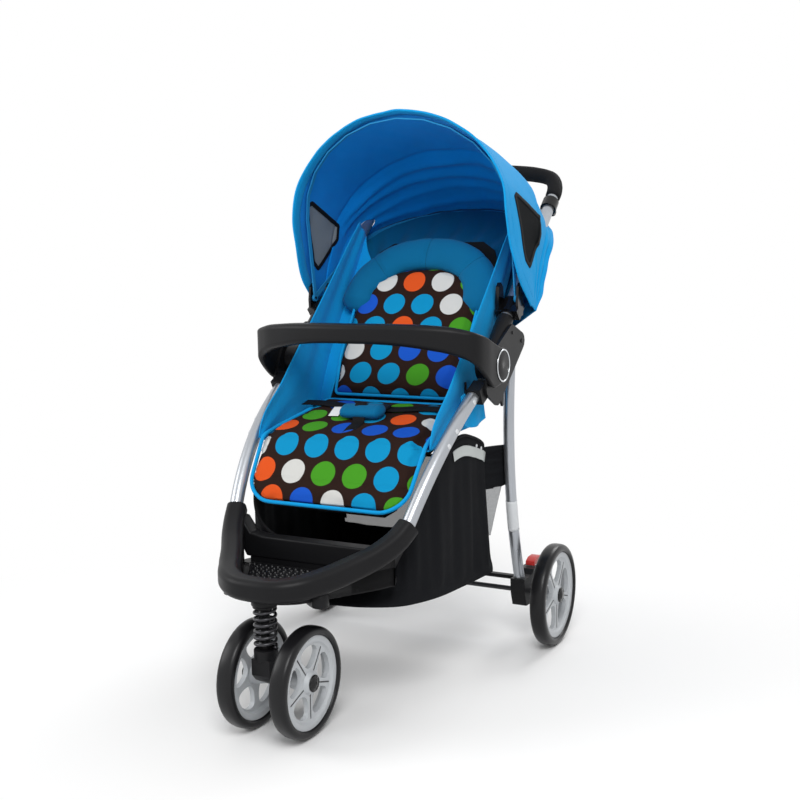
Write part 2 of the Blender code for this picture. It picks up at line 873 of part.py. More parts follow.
def build_pedal():
    side = [
        (-0.0080, -0.0068),
        (0.0150, -0.0068),
        (0.0220, -0.0050),
        (0.0420, -0.0050),
        (0.0440, -0.0010),
        (0.0280, 0.0080),
        (0.0060, 0.0080),
        (-0.0070, 0.0020),
    ]
    side = [(PEDAL_Y + y, PEDAL_Z + z) for y, z in side]
    return make(prism(side, SIDE_X - 0.0095, SIDE_X + 0.0105))


def build_cross_bar():
    return make(prism(rounded_at(REAR_AXLE_Y + 0.0133, REAR_WHEEL_R + 0.0220, 0.018, 0.008, 0.0025),
                      -BRACKET_IN + FIT, BRACKET_IN - FIT))


def rounded_at(y, z, width, height, radius):
    return [(y + a, z + b) for a, b in rounded(width, height, radius, 1)]


# The seat
def seat_stations(low_gap, high_gap):
    """Surface points and normals from the legrest's lower edge to the back of the seat."""
    low = np.array(LEGREST_LOW)
    crease = np.array(SEAT_CREASE)
    back = np.array(SEAT_BACK)
    leg = unit(crease - low)
    seat = unit(back - crease)
    n_leg = np.array((-leg[1], leg[0]))
    n_seat = np.array((-seat[1], seat[0]))
    out = []
    length = np.linalg.norm(crease - low)
    for f in (low_gap, 0.006, 0.020, 0.040, 0.070, 0.100, 0.120):
        out.append((low + leg * f, n_leg, f))
    out.append((crease, unit(n_leg + n_seat), length))
    span = np.linalg.norm(back - crease)
    for f in (0.014, 0.030, 0.060, 0.090, 0.120, 0.150, 0.175, span - high_gap):
        out.append((crease + seat * f, n_seat, length + f))
    return out


def cushion_ring(point, normal, half, thick, crown):
    """A pad's outline across: a crowned top, drawn-in sides and a flat underside."""
    top = ((1, -0.45), (0.985, -0.15), (0.90, 0.30), (0.60, 0.80), (0.20, 1.0))
    ring = []
    for s in (1, -1):
        side = top if s == 1 else top[::-1]
        for fx, fo in side:
            ring.append((s * fx * half, fo * crown))
    ring += [(-0.93 * half, -thick), (-0.4 * half, -thick)]
    ring += [(0.4 * half, -thick), (0.93 * half, -thick)]
    return [(x, point[0] + normal[0] * o, point[1] + normal[1] * o) for x, o in ring]


def build_seat_pad():
    rings = []
    for point, normal, f in seat_stations(0.0, 0.004):
        half = float(np.interp(f, (0, 0.006, 0.02, 0.04, 0.134, 0.18, 0.33),
                               (0.118, 0.138, 0.158, 0.170, 0.176, 0.170, 0.136)))
        edge = min(1.0, 0.35 + f / 0.03, 0.35 + (0.3268 - f) / 0.02)
        seam = 1.0 - 0.75 * math.exp(-(((f - 0.1345) / 0.010) ** 2))
        thick = PAD_THICK * (0.5 + 0.5 * edge)
        rings.append(cushion_ring(point, normal, half, thick, 0.006 * edge * seam))
    return make(loft(rings))


def build_seat_base():
    rings = []
    for point, normal, f in seat_stations(0.004, -0.002):
        half = float(np.interp(f, (0, 0.02, 0.13, 0.16, 0.33), (0.110, 0.135, 0.155, 0.165, 0.160)))
        ring = []
        for x, o in ((half, 0), (-half, 0), (-half, 1), (half, 1)):
            deep = PAD_THICK + 0.0008 + BOARD_THICK * o
            ring.append((x, point[0] - normal[0] * deep, point[1] - normal[1] * deep))
        rings.append(ring)
    return make(loft(rings))


def build_back_board():
    outline = [(0.150, -0.004), (0.150, 0.330), (0.135, 0.368), (0.105, 0.390)]
    outline += [(-x, v) for x, v in outline[::-1]]
    rings = []
    for out in (-PAD_THICK - 0.0005, -PAD_THICK - 0.0005 - BOARD_THICK):
        rings.append([back_point(x, v, out) for x, v in outline])
    return make(loft(rings))


def build_back_pad():
    rings = []
    steps = (0.007, 0.013, 0.030, 0.060, 0.100, 0.150, 0.200, 0.235, 0.258, 0.276, 0.292,
             0.306, 0.316)
    for v in steps:
        half = float(np.interp(v, (0, 0.05, 0.10, 0.235, 0.258, 0.276, 0.292, 0.306, 0.316),
                               (0.127, 0.135, 0.143, 0.144, 0.136, 0.118, 0.095, 0.062, 0.030)))
        edge = min(1.0, 0.35 + (v - 0.007) / 0.02, 0.30 + (0.316 - v) / 0.03)
        point = back_point(0, v, 0)[1:]
        normal = (-math.sin(BACK_LEAN), math.cos(BACK_LEAN))
        thick = PAD_THICK * (0.55 + 0.45 * edge)
        rings.append(cushion_ring(point, normal, half, thick, 0.005 * edge))
    return make(loft(rings))


def build_bolster():
    """The padded roll round the top of the back: four stuffed lengths between seams."""
    half = [(0.1330, 0.3000), (0.1060, 0.3320), (0.0600, 0.3530), (0.0, 0.3600)]
    ends = half + [(-x, v) for x, v in half[-2::-1]]
    points = np.array(ends)
    lengths = np.concatenate([[0], np.cumsum(np.linalg.norm(np.diff(points, axis=0), axis=1))])
    total = lengths[-1]
    rings = []
    for f in np.linspace(0, 1, 17):
        s = f * total
        x = np.interp(s, lengths, points[:, 0])
        v = np.interp(s, lengths, points[:, 1])
        ahead = min(s + 0.012, total)
        behind = max(s - 0.012, 0)
        way = unit(
            (
                np.interp(ahead, lengths, points[:, 0]) - np.interp(behind, lengths, points[:, 0]),
                np.interp(ahead, lengths, points[:, 1]) - np.interp(behind, lengths, points[:, 1]),
            )
        )
        out = np.array((-way[1], way[0]))
        if out[1] < 0:
            out = -out
        swell = 0.82 + 0.18 * abs(math.sin(4 * math.pi * f))
        tip = min(1.0, 0.45 + min(f, 1 - f) / 0.05)
        ring = []
        for a in range(10):
            angle = 2 * math.pi * (a + 0.5) / 10
            across = 0.0260 * tip * math.cos(angle)
            rise = 0.0165 * swell * tip * math.sin(angle)
            if rise < 0:
                rise = max(rise * 1.2, -0.0165)
            ring.append(back_point(x + out[0] * across, v + out[1] * across, rise - 0.0050))
        rings.append(ring)
    return make(loft(rings))


def build_wing():
    """The cloth side wall between the seat, the back and the frame."""
    outline = [
        (-0.086, 0.462),
        (-0.080, 0.482),
        (0.000, 0.562),
        (0.100, 0.660),
        (0.200, 0.758),
        (0.268, 0.826),
        (0.315, 0.790),
        (0.245, 0.690),
        (0.185, 0.600),
        (0.150, 0.530),
        (0.128, 0.482),
        (0.090, 0.478),
        (0.040, 0.476),
        (-0.020, 0.464),
    ]
    shape = prism(outline, 0.1795, 0.1795 + CLOTH)
    return make(shape)


def build_strap():
    """A waist strap lying on the seat, from its side towards the buckle."""
    seat = unit(np.array(SEAT_BACK) - np.array(SEAT_CREASE))
    normal = np.array((-seat[1], seat[0]))
    rings = []
    for x, along, lift in (
        (0.050, 0.128, 0.0085),
        (0.080, 0.134, 0.0095),
        (0.110, 0.142, 0.0085),
        (0.140, 0.146, 0.0070),
        (0.160, 0.148, 0.0072),
    ):
        middle = np.array(SEAT_CREASE) + seat * along + normal * lift
        ring = []
        for a, b in ((-0.0125, 0), (0.0125, 0), (0.0125, 0.002), (-0.0125, 0.002)):
            p = middle + seat * a + normal * b
            ring.append((x, p[0], p[1]))
        rings.append(ring)
    return make(loft(rings))


def build_crotch_pad():
    """The soft sleeve of the crotch strap, lying across the front of the seat."""
    seat = unit(np.array(SEAT_BACK) - np.array(SEAT_CREASE))
    normal = np.array((-seat[1], seat[0]))
    rings = []
    for i, x in enumerate(np.linspace(-0.045, 0.045, 9)):
        end = 0.55 if i in (0, 8) else 1.0
        along = 0.090 + 0.06 * x
        middle = np.array(SEAT_CREASE) + seat * along + normal * 0.0180
        ring = []
        for a in range(10):
            angle = 2 * math.pi * a / 10
            p = middle + seat * 0.021 * end * math.cos(angle)
            p = p + normal * 0.0095 * end * math.sin(angle)
            ring.append((x, p[0], p[1]))
        rings.append(ring)
    return make(loft(rings))


# The hood
def hood_point(x, radius, lean, shift=0.0):
    """A point of a hood bow: so far from its pivot, in its own plane."""
    c = math.cos(lean)
    s = math.sin(lean)
    return np.array((x, HOOD_Y + radius * c - shift * s, HOOD_Z + radius * s + shift * c))


def build_bow(lean, layer, rise, top):
    """A flat strip bent to a U, with an eye at each end round the hood's pivot."""
    half = [(layer, 0.0060), (layer, rise * 0.5), (layer, rise)]
    for angle in (15, 30, 45, 60, 75, 90):
        a = math.radians(angle)
        half.append((layer * math.cos(a), rise + (top - rise) * math.sin(a)))
    whole = half + [(-x, r) for x, r in half[-2::-1]]
    flat = np.array(whole)
    rings = []
    for i, (x, r) in enumerate(whole):
        a = flat[max(i - 1, 0)]
        b = flat[min(i + 1, len(flat) - 1)]
        way = unit(b - a)
        out = np.array((way[1], -way[0]))
        ring = []
        for s, t in ((1, 1), (-1, 1), (-1, -1), (1, -1)):
            p = np.array((x, r)) + out * s * BOW_THICK / 2
            ring.append(hood_point(p[0], p[1], lean, t * BOW_WIDE / 2))
        rings.append(ring)
    obj = make(loft(rings))
    for flip in (1, -1):
        low, high = sorted((flip * (layer - BOW_THICK / 2), flip * (layer + BOW_THICK / 2)))
        join(obj, cylinder((HOOD_Y, HOOD_Z), 0.0078, low + 0.00005, high - 0.00005, sides=14))
        cut(obj, cylinder((HOOD_Y, HOOD_Z), 0.0033, low - 0.01, high + 0.01, sides=12))
    return obj


HOOD_STATIONS = (
    # place, half width, side y, side z, top y, top z, and three (x, y, z) down the side
    (0.00, 0.2355, 0.140, 0.880, 0.147, 1.080,
     (0.2385, 0.158, 0.812), (0.2430, 0.183, 0.757), (0.2475, 0.240, 0.700)),
    (0.25, 0.2380, 0.205, 0.870, 0.235, 1.068,
     (0.2405, 0.212, 0.810), (0.2440, 0.222, 0.757), (0.2475, 0.246, 0.698)),
    (0.50, 0.2385, 0.275, 0.855, 0.330, 1.040,
     (0.2410, 0.265, 0.800), (0.2440, 0.258, 0.752), (0.2475, 0.251, 0.695)),
    (0.75, 0.2380, 0.335, 0.835, 0.430, 0.985,
     (0.2410, 0.305, 0.785), (0.2440, 0.283, 0.745), (0.2475, 0.256, 0.692)),
    (1.00, 0.2365, 0.385, 0.815, 0.513, 0.900,
     (0.2410, 0.336, 0.759), (0.2440, 0.307, 0.722), (0.2475, 0.262, 0.689)),
)


def hood_curve(place):
    """The hood's section at a place from its front rim, 0, to its rear edge, 1."""
    flat = []
    for row in HOOD_STATIONS:
        values = [row[0]]
        for v in row[1:]:
            values += list(v) if isinstance(v, tuple) else [v]
        flat.append(values)
    flat = np.array(flat)
    got = [float(np.interp(place, flat[:, 0], flat[:, i])) for i in range(1, flat.shape[1])]
    half, side_y, side_z, top_y, top_z = got[:5]
    drop = [np.array(got[5 + 3 * i: 8 + 3 * i]) for i in range(3)]
    right = [drop[2], drop[1], drop[0]]
    for angle in (0, 12, 25, 39, 54, 72, 90):
        a = math.radians(angle)
        x = half * math.cos(a)
        y = side_y + (top_y - side_y) * math.sin(a)
        z = side_z + (top_z - side_z) * math.sin(a)
        right.append(np.array((x, y, z)))
    return right + [p * (-1, 1, 1) for p in right[-2::-1]]


def build_hood():
    grid = [hood_curve(s) for s in np.linspace(0, 1, 9)]
    obj = make(sheet(grid, CLOTH))
    probe = sheet(grid, CLOTH)[0]
    half = len(probe) // 2
    if np.linalg.norm(probe[half:] - (0, 0.3, 0.8), axis=1).mean() > np.linalg.norm(
        probe[:half] - (0, 0.3, 0.8), axis=1
    ).mean():
        bpy.data.objects.remove(obj)
        obj = make(sheet(grid, -CLOTH))
    for flip in (1, -1):
        path = [push_point(flip * SIDE_X, t) for t in (0.345, 0.475)]
        cut(obj, pipe(path, TUBE_R + 0.0035))
    return obj


def build_curtain():
    grid = []
    for row in range(5):
        f = row / 4
        line = []
        for c in np.linspace(-1, 1, 11):
            round_ = math.sqrt(max(0.0, 1 - (0.999 * c) ** 2))
            upper = np.array((0.184 * c, 0.388 + 0.106 * round_, 0.812 + 0.068 * round_))
            lower = np.array((0.146 * c, 0.368, 0.785))
            p = upper * (1 - f) + lower * f
            sag = math.sin(math.pi * f) * 0.016
            line.append(p + np.array((0, sag * 0.4, -sag)))
        grid.append(line)
    return make(sheet(grid, CLOTH))


def build_clamp():
    """The clip that carries the hood's bows on the push tube."""
    path = [push_point(SIDE_X, t) for t in (0.133, 0.169)]
    obj = make(pipe(path, 0.0165, sides=14))
    corners = ((0.128, -0.010), (0.165, -0.010), (0.165, 0.007), (0.146, 0.012), (0.128, 0.014))
    base = [push_point(0, t, lift)[1:] for t, lift in corners]
    prong = [
        (0.196, 0.680),
        (0.221, 0.682),
        (0.222, 0.712),
        (0.217, 0.738),
        (0.207, 0.746),
        (0.198, 0.738),
        (0.194, 0.712),
    ]
    join(
        obj,
        prism(base, SIDE_X - 0.0218, SIDE_X + 0.0255),
        prism(prong, SIDE_X - 0.0220, SIDE_X - 0.0145),
        prism(prong, SIDE_X + 0.0210, SIDE_X + 0.0257),
        cylinder((HOOD_Y, HOOD_Z), 0.0030, SIDE_X + 0.0138, SIDE_X + 0.0220, sides=12),
    )
    bore = [push_point(SIDE_X, t) for t in (0.10, 0.22)]
    cut(obj, pipe(bore, TUBE_R + FIT))
    return obj


def build_collar():
    """The release: a sleeve that slides on the push tube, with a finger tab."""
    path = [push_point(SIDE_X, t) for t in (COLLAR_START, COLLAR_END)]
    obj = make(pipe(path, COLLAR_R, sides=16))
    tab = []
    for t, lift in (
        (COLLAR_START + 0.002, -0.012),
        (COLLAR_START + 0.002, -0.0215),
        (COLLAR_START + 0.010, -0.0260),
        (COLLAR_END - 0.006, -0.0260),
        (COLLAR_END - 0.001, -0.0200),
        (COLLAR_END - 0.001, -0.012),
    ):
        tab.append(push_point(0, t, lift)[1:])
    join(obj, prism(tab, SIDE_X - 0.0075, SIDE_X + 0.0075))
    bore = [push_point(SIDE_X, t) for t in (COLLAR_START - 0.02, COLLAR_END + 0.02)]
    cut(obj, pipe(bore, TUBE_R + FIT))
    return obj


# The basket
BASKET_STATIONS = (
    # floor (x, y), rim (x, y, z) and the fold between them (x, y, z), from the rear middle
    ((0.000, 0.207), (0.000, 0.152, 0.405), (0.000, 0.195, 0.225)),
    ((0.090, 0.207), (0.090, 0.152, 0.405), (0.090, 0.195, 0.225)),
    ((0.160, 0.206), (0.165, 0.150, 0.415), (0.162, 0.194, 0.226)),
    ((0.182, 0.192), (0.186, 0.138, 0.436), (0.184, 0.181, 0.228)),
    ((0.186, 0.120), (0.189, 0.085, 0.458), (0.188, 0.113, 0.233)),
    ((0.186, 0.030), (0.187, 0.025, 0.468), (0.188, 0.029, 0.240)),
    ((0.184, -0.050), (0.181, -0.055, 0.440), (0.186, -0.050, 0.240)),
    ((0.172, -0.115), (0.168, -0.118, 0.380), (0.173, -0.115, 0.240)),
    ((0.150, -0.163), (0.148, -0.146, 0.330), (0.151, -0.149, 0.238)),
    ((0.100, -0.198), (0.112, -0.150, 0.296), (0.108, -0.152, 0.235)),
    ((0.050, -0.210), (0.056, -0.151, 0.288), (0.054, -0.152, 0.235)),
    ((0.000, -0.214), (0.000, -0.151, 0.287), (0.000, -0.152, 0.235)),
)


def basket_floor(y):
    return 0.1685 + 0.0315 * (0.207 - y) / 0.421


def build_basket():
    floor = []
    fold = []
    rim = []
    for (fx, fy), top, mid in BASKET_STATIONS:
        floor.append((fx, fy, basket_floor(fy)))
        fold.append(mid)
        rim.append(top)
    for ring in (floor, fold, rim):
        ring += [(-x, y, z) for x, y, z in ring[-2:0:-1]]
    rings = [np.array(r, float) for r in (floor, fold, rim)]
    middle = np.array((0.0, 0.0))

    def inside(ring, lift):
        out = []
        count = len(ring)
        for i in range(count):
            a = ring[i - 1]
            b = ring[(i + 1) % count]
            way = unit((b - a)[:2])
            side = np.array((-way[1], way[0]))
            if side.dot(middle - ring[i][:2]) < 0:
                side = -side
            p = ring[i].copy()
            p[:2] += side * BASKET_WALL
            p[2] += lift
            out.append(p)
        return np.array(out)

    inner = [inside(rings[2], 0), inside(rings[1], 0.001), inside(rings[0], BASKET_WALL)]
    return make(loft(rings + inner))


def build_gusset():
    """The folded cloth between the basket's rear edge and the rear leg."""
    grid = []
    for i in range(9):
        f = i / 8
        z = 0.430 - 0.185 * f
        edge = np.array((0.1915, 0.150 + 0.050 * f, z))
        t = (LEG_PIVOT_Z - z) / (LEG_PIVOT_Z - LEG_FOOT_Z)
        leg_y = LEG_PIVOT_Y + (LEG_FOOT_Y - LEG_PIVOT_Y) * t - LEG_BOW * 4 * t * (1 - t)
        far = np.array((0.1985, leg_y - 0.004, z - 0.004 + 0.004 * (-1) ** i))
        pleat = 0.0016 * (-1) ** i
        grid.append([edge, (edge + far) / 2 + np.array((pleat, 0, 0)), far])
    return make(sheet(grid, 0.0014))


def build_knob():
    outer = -CHEEK_OUT - 0.0100
    obj = make(cylinder(KNOB, KNOB_R, outer, -CHEEK_OUT + 0.0070, sides=12))
    join(obj, cylinder(KNOB, KNOB_R + 0.0045, outer, -CHEEK_OUT - 0.0035, sides=16))
    return obj


def build_grip():
    return make(pipe(push_path(GRIP_START), GRIP_R, TUBE_R + FIT))


def wheel(kind, radius, rim, half_track, y, axle, hub_in, hub_out, cap):
    for side in ("right", "left"):
        sign = 1 if side == "right" else -1
        x = half_track
        pieces = (
            ("tyre", build_tyre(radius, rim, x, y, radius), "rubber"),
            ("rim", build_rim(rim, axle, hub_in, hub_out, x, y, radius), "rim"),
            ("hub_cap", build_cap(cap, x + hub_out + FIT, y, radius), "gloss"),
        )
        for name, obj, colour in pieces:
            if sign < 0:
                obj.data.transform(Matrix.Diagonal((-1, 1, 1, 1)))
                obj.data.flip_normals()
            node(kind + "_" + name + "_" + side, obj, colour, kind + "_wheel_" + side)


def centre_footprint():
    """Moves the root so that the middle of the whole stroller's footprint is at y = 0."""
    bpy.context.view_layer.update()
    low = 1e9
    high = -1e9
    for obj in scene.objects:
        if obj.type != "MESH":
            continue
        for v in obj.data.vertices:
            y = (obj.matrix_world @ v.co).y
            low = min(low, y)
            high = max(high, y)
    shift = (low + high) / 2
    BODIES["stroller"][0].location = (0, -shift, 0)
    print("frame moved back by", round(shift * 1000, 3), "mm")


def make_bodies():
    body("stroller", (0, 0, 0), None)
    body("bumper", (0, HINGE_Y, HINGE_Z), "stroller")
    body("push_frame", (0, HINGE_Y, HINGE_Z), "stroller")
    body("rear_frame", (0, LEG_PIVOT_Y, LEG_PIVOT_Z), "stroller")
    rear = REAR_TRACK / 2
    body("rear_wheel_right", (rear, REAR_AXLE_Y, REAR_WHEEL_R), "rear_frame")
    body("rear_wheel_left", (-rear, REAR_AXLE_Y, REAR_WHEEL_R), "rear_frame")
    body("pedal_right", (SIDE_X, PEDAL_Y, PEDAL_Z), "rear_frame")
    body("pedal_left", (-SIDE_X, PEDAL_Y, PEDAL_Z), "rear_frame")
    body("caster", (0, STEM_Y, FORK_TOP), "stroller")
    body("fork", (0, STEM_Y, FORK_TOP), "caster")
    front = FRONT_TRACK / 2
    body("front_wheel_right", (front, FRONT_AXLE_Y, FRONT_WHEEL_R), "fork")
    body("front_wheel_left", (-front, FRONT_AXLE_Y, FRONT_WHEEL_R), "fork")
    body("backrest", back_point(0, 0, -RECLINE_OFFSET), "stroller")
    body("hood_front", (0, HOOD_Y, HOOD_Z), "push_frame")
    body("collar_right", push_point(SIDE_X, COLLAR_START), "push_frame")
    body("collar_left", push_point(-SIDE_X, COLLAR_START), "push_frame")
    body("lock", (-CHEEK_OUT, *KNOB), "stroller")


def build_chassis():
    tube = TUBE_R - TUBE_WALL
    both("front_tube", lambda: make(pipe(front_path(), TUBE_R, tube)), "silver", "stroller")
    node("footrest", build_footrest(), "plastic", "stroller")
    node("footrest_mat", build_mat(), "gloss", "stroller")
    node("hinge_cheek_right", build_cheek(), "plastic", "stroller")
    left = build_cheek(knob=True)
    left.data.transform(Matrix.Diagonal((-1, 1, 1, 1)))
    left.data.flip_normals()
    node("hinge_cheek_left", left, "plastic", "stroller")
    node("lock_knob", build_knob(), "red", "lock")
    node("seat_base", build_seat_base(), "webbing", "stroller")
    node("seat_pad", build_seat_pad(), "dots", "stroller")
    both("side_wing", build_wing, "blue", "stroller")
    both("waist_strap", build_strap, "webbing", "stroller")
    node("crotch_pad", build_crotch_pad(), "blue", "stroller")
    node("basket", build_basket(), "mesh", "stroller")
    both("basket_gusset", build_gusset, "mesh", "stroller")


def build_moving():
    node("bumper_bar", build_bar(), "plastic", "bumper")
    both("hinge_ring", build_ring, "chrome", "bumper")
    tube = TUBE_R - TUBE_WALL
    node("push_tube", make(pipe(push_path(PUSH_START), TUBE_R, tube)), "silver", "push_frame")
    node("foam_grip", build_grip(), "foam", "push_frame")
    both("hinge_sleeve", build_sleeve, "plastic", "push_frame")
    both("canopy_clamp", build_clamp, "plastic", "push_frame")
    both("release_collar", build_collar, "gloss", "collar")
    both("rear_leg", build_leg, "silver", "rear_frame")
    both("rear_bracket", build_bracket, "plastic", "rear_frame")
    rod = cylinder((REAR_AXLE_Y, REAR_WHEEL_R), REAR_AXLE_R, -REAR_AXLE_HALF, REAR_AXLE_HALF,
                   sides=12)
    node("rear_axle", make(rod), "steel", "rear_frame")
    node("rear_cross_bar", build_cross_bar(), "steel", "rear_frame")
    both("brake_pedal", build_pedal, "red", "pedal")
    node("caster_stem", build_stem(), "steel", "caster")
    node("front_spring", build_spring(), "gloss", "caster")
    node("front_fork", build_fork(), "plastic", "fork")
    rod = cylinder((FRONT_AXLE_Y, FRONT_WHEEL_R), FRONT_AXLE_R, -FRONT_AXLE_HALF, FRONT_AXLE_HALF,
                   sides=12)
    node("front_axle", make(rod), "steel", "fork")
    node("back_board", build_back_board(), "webbing", "backrest")
    node("back_pad", build_back_pad(), "dots", "backrest")
    node("head_bolster", build_bolster(), "blue", "backrest")
    front = build_bow(FRONT_BOW_LEAN, SIDE_X + 0.01565, 0.165, 0.356)
    node("front_bow", front, "plastic", "hood_front")
    rear = build_bow(REAR_BOW_LEAN, SIDE_X + 0.01835, 0.190, 0.350)
    node("rear_bow", rear, "plastic", "push_frame")
    node("hood_shell", build_hood(), "blue", "push_frame")
    node("rear_curtain", build_curtain(), "blue", "push_frame")


def main():
    clear_scene()
    make_bodies()
    build_chassis()
    build_moving()
    rear = REAR_TRACK / 2
    wheel("rear", REAR_WHEEL_R, REAR_RIM_R, rear, REAR_AXLE_Y, REAR_AXLE_R,
          -0.0180, 0.0145, 0.0155)
    front = FRONT_TRACK / 2
    wheel("front", FRONT_WHEEL_R, FRONT_RIM_R, front, FRONT_AXLE_Y, FRONT_AXLE_R,
          -0.0320, 0.0144, 0.0145)
    centre_footprint()


main()
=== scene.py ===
"""The looks of a folding stroller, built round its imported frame.

Lengths are in metres. The shapes below are measured from the point on the floor midway
between the axles, with the front towards -Y and +X on the side that the camera sees;
add_piece() moves them from there into the frame.
"""

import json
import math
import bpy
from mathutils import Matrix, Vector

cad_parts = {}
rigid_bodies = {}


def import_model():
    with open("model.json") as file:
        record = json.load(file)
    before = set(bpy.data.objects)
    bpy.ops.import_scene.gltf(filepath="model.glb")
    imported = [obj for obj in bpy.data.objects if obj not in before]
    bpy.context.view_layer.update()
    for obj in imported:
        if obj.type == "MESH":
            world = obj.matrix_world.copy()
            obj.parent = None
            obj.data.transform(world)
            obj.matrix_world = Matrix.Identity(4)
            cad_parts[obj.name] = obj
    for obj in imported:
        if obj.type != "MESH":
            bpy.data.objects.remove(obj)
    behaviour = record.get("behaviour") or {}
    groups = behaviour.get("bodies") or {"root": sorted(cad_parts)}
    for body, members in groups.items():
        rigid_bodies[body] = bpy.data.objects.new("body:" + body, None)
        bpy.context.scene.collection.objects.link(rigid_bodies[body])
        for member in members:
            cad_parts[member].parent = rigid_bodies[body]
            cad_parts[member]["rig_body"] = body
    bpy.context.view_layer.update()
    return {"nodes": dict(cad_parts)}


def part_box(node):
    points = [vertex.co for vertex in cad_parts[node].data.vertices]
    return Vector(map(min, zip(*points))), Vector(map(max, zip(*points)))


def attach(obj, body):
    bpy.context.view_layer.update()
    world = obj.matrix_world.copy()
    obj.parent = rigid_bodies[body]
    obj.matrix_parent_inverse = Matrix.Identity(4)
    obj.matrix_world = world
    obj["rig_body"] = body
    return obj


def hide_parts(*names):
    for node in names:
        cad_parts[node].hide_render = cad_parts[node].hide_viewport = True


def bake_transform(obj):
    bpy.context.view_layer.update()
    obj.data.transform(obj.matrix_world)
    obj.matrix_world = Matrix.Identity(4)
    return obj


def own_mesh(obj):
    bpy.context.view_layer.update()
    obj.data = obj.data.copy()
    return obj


bl_info = {
    "name": "Folding Stroller",
    "version": (1, 0, 0),
    "blender": (4, 5, 0),
    "location": "View3D > Sidebar > Stroller",
    "description": "Builds the pieces, cloth and finishes of a folding stroller",
    "category": "Object",
}

import bmesh
import bpy
import numpy as np
from mathutils import Matrix, Vector

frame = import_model()


def middle(node):
    low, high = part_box(node)
    return (low + high) / 2


# Sizes that the frame gives
REAR_AXLE_Y = 0.2957
ZERO_Y = middle("rear_tyre_right").y - REAR_AXLE_Y
FRONT_AXLE_Y = middle("front_tyre_right").y - ZERO_Y
REAR_WHEEL_R = middle("rear_tyre_right").z
FRONT_WHEEL_R = middle("front_tyre_right").z
REAR_HALF_TRACK = middle("rear_tyre_right").x
FRONT_HALF_TRACK = middle("front_tyre_right").x
HINGE_Y = middle("hinge_ring_right").y - ZERO_Y
HINGE_Z = middle("hinge_ring_right").z
BAR_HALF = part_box("bumper_bar")[1].x

# Sizes of the frame's tubes and joints
SIDE_X = 0.212
TUBE_R = 0.0125
LEG_R = 0.011
PUSH_LEAN = math.radians(42.0)
PUSH_START = 0.040
PUSH_BEND = 0.495
PUSH_REACH = 0.582
GRIP_START = 0.481
FRONT_TOP = (SIDE_X, 0.075, 0.562)
FRONT_FOOT = (0.178, -0.172, 0.341)
FRONT_BOW = 0.024
FRONT_BOW_X = 0.006
LEG_PIVOT = (SIDE_X, 0.222, 0.632)
LEG_FOOT = (SIDE_X, 0.278, 0.104)
LEG_BOW = 0.037
SPOKES = 5
SPOKE_WIDTH = 0.013
STEM_Y = -0.344
SPRING_R = 0.0175
SPRING_WIRE = 0.0028
SPRING_LOW = 0.1612
SPRING_HIGH = 0.2262
SPRING_TURNS = 6.1

# Sizes of the seat, the hood and the basket
SEAT_CREASE = (-0.084, 0.468)
SEAT_BACK = (0.102, 0.517)
LEGREST_LOW = (-0.160, 0.357)
BACK_LEAN = math.radians(56.0)
PAD_THICK = 0.022
HOOD_SEAM = 0.60


# Shapes: each function returns points and faces
def unit(v):
    v = np.asarray(v, float)
    return v / np.linalg.norm(v)


def spline(points, count):
    """A smooth line through rows of numbers, at even distances along it."""
    points = np.asarray(points, float)
    steps = np.linalg.norm(np.diff(points[:, :3], axis=0), axis=1)
    s = np.concatenate([[0], np.cumsum(steps)])
    slope = np.gradient(points, s, axis=0)
    t = np.linspace(0, s[-1], count)
    i = np.clip(np.searchsorted(s, t, side="right") - 1, 0, len(s) - 2)
    h = (s[i + 1] - s[i])[:, None]
    u = ((t - s[i])[:, None]) / h
    a = points[i] * (1 + 2 * u) * (1 - u) ** 2
    b = slope[i] * h * u * (1 - u) ** 2
    c = points[i + 1] * u * u * (3 - 2 * u)
    d = slope[i + 1] * h * u * u * (u - 1)
    return a + b + c + d


def frames(path, first):
    """A tangent and two side directions at each point, carried along without twist."""
    path = np.asarray(path, float)
    normal = np.asarray(first, float)
    out = []
    for i in range(len(path)):
        tangent = unit(path[min(i + 1, len(path) - 1)] - path[max(i - 1, 0)])
        normal = unit(normal - tangent * normal.dot(tangent))
        out.append((tangent, normal, np.cross(tangent, normal)))
    return out


def loft(rings, loop=False, caps=True):
    """Rings of equal count joined side by side, with caps unless it is a loop."""
    count = len(rings[0])
    points = np.concatenate([np.asarray(r, float) for r in rings])
    faces = []
    for i in range(len(rings) if loop else len(rings) - 1):
        a = i * count
        b = ((i + 1) % len(rings)) * count
        for j in range(count):
            k = (j + 1) % count
            faces.append((a + j, a + k, b + k, b + j))
    if caps and not loop:
        end = (len(rings) - 1) * count
        faces.append(tuple(range(count - 1, -1, -1)))
        faces.append(tuple(range(end, end + count)))
    return points, faces


def grid_shape(grid):
    """An open sheet through a grid of points."""
    grid = np.asarray(grid, float)
    rows, cols = grid.shape[:2]
    faces = []
    for i in range(rows - 1):
        for j in range(cols - 1):
            a = i * cols + j
            faces.append((a, a + cols, a + cols + 1, a + 1))
    return grid.reshape(-1, 3), faces


def pipe(path, radius, sides=24, first=(1, 0, 0), ends=0.0, flat=1.0):
    """A round bar along a path; ends rounds its ends, and flat presses its section."""
    path = np.asarray(path, float)
    s = np.concatenate([[0], np.cumsum(np.linalg.norm(np.diff(path, axis=0), axis=1))])
    rings = []
    for i, (_, n, b) in enumerate(frames(path, first)):
        r = radius
        if ends:
            near = min(s[i], s[-1] - s[i], ends)
            r = radius * max(0.15, math.sqrt(1 - (1 - near / ends) ** 2))
        a = np.arange(sides) * 2 * math.pi / sides
        rings.append(path[i] + r * (np.outer(np.cos(a), n) + flat * np.outer(np.sin(a), b)))
    return loft(rings)


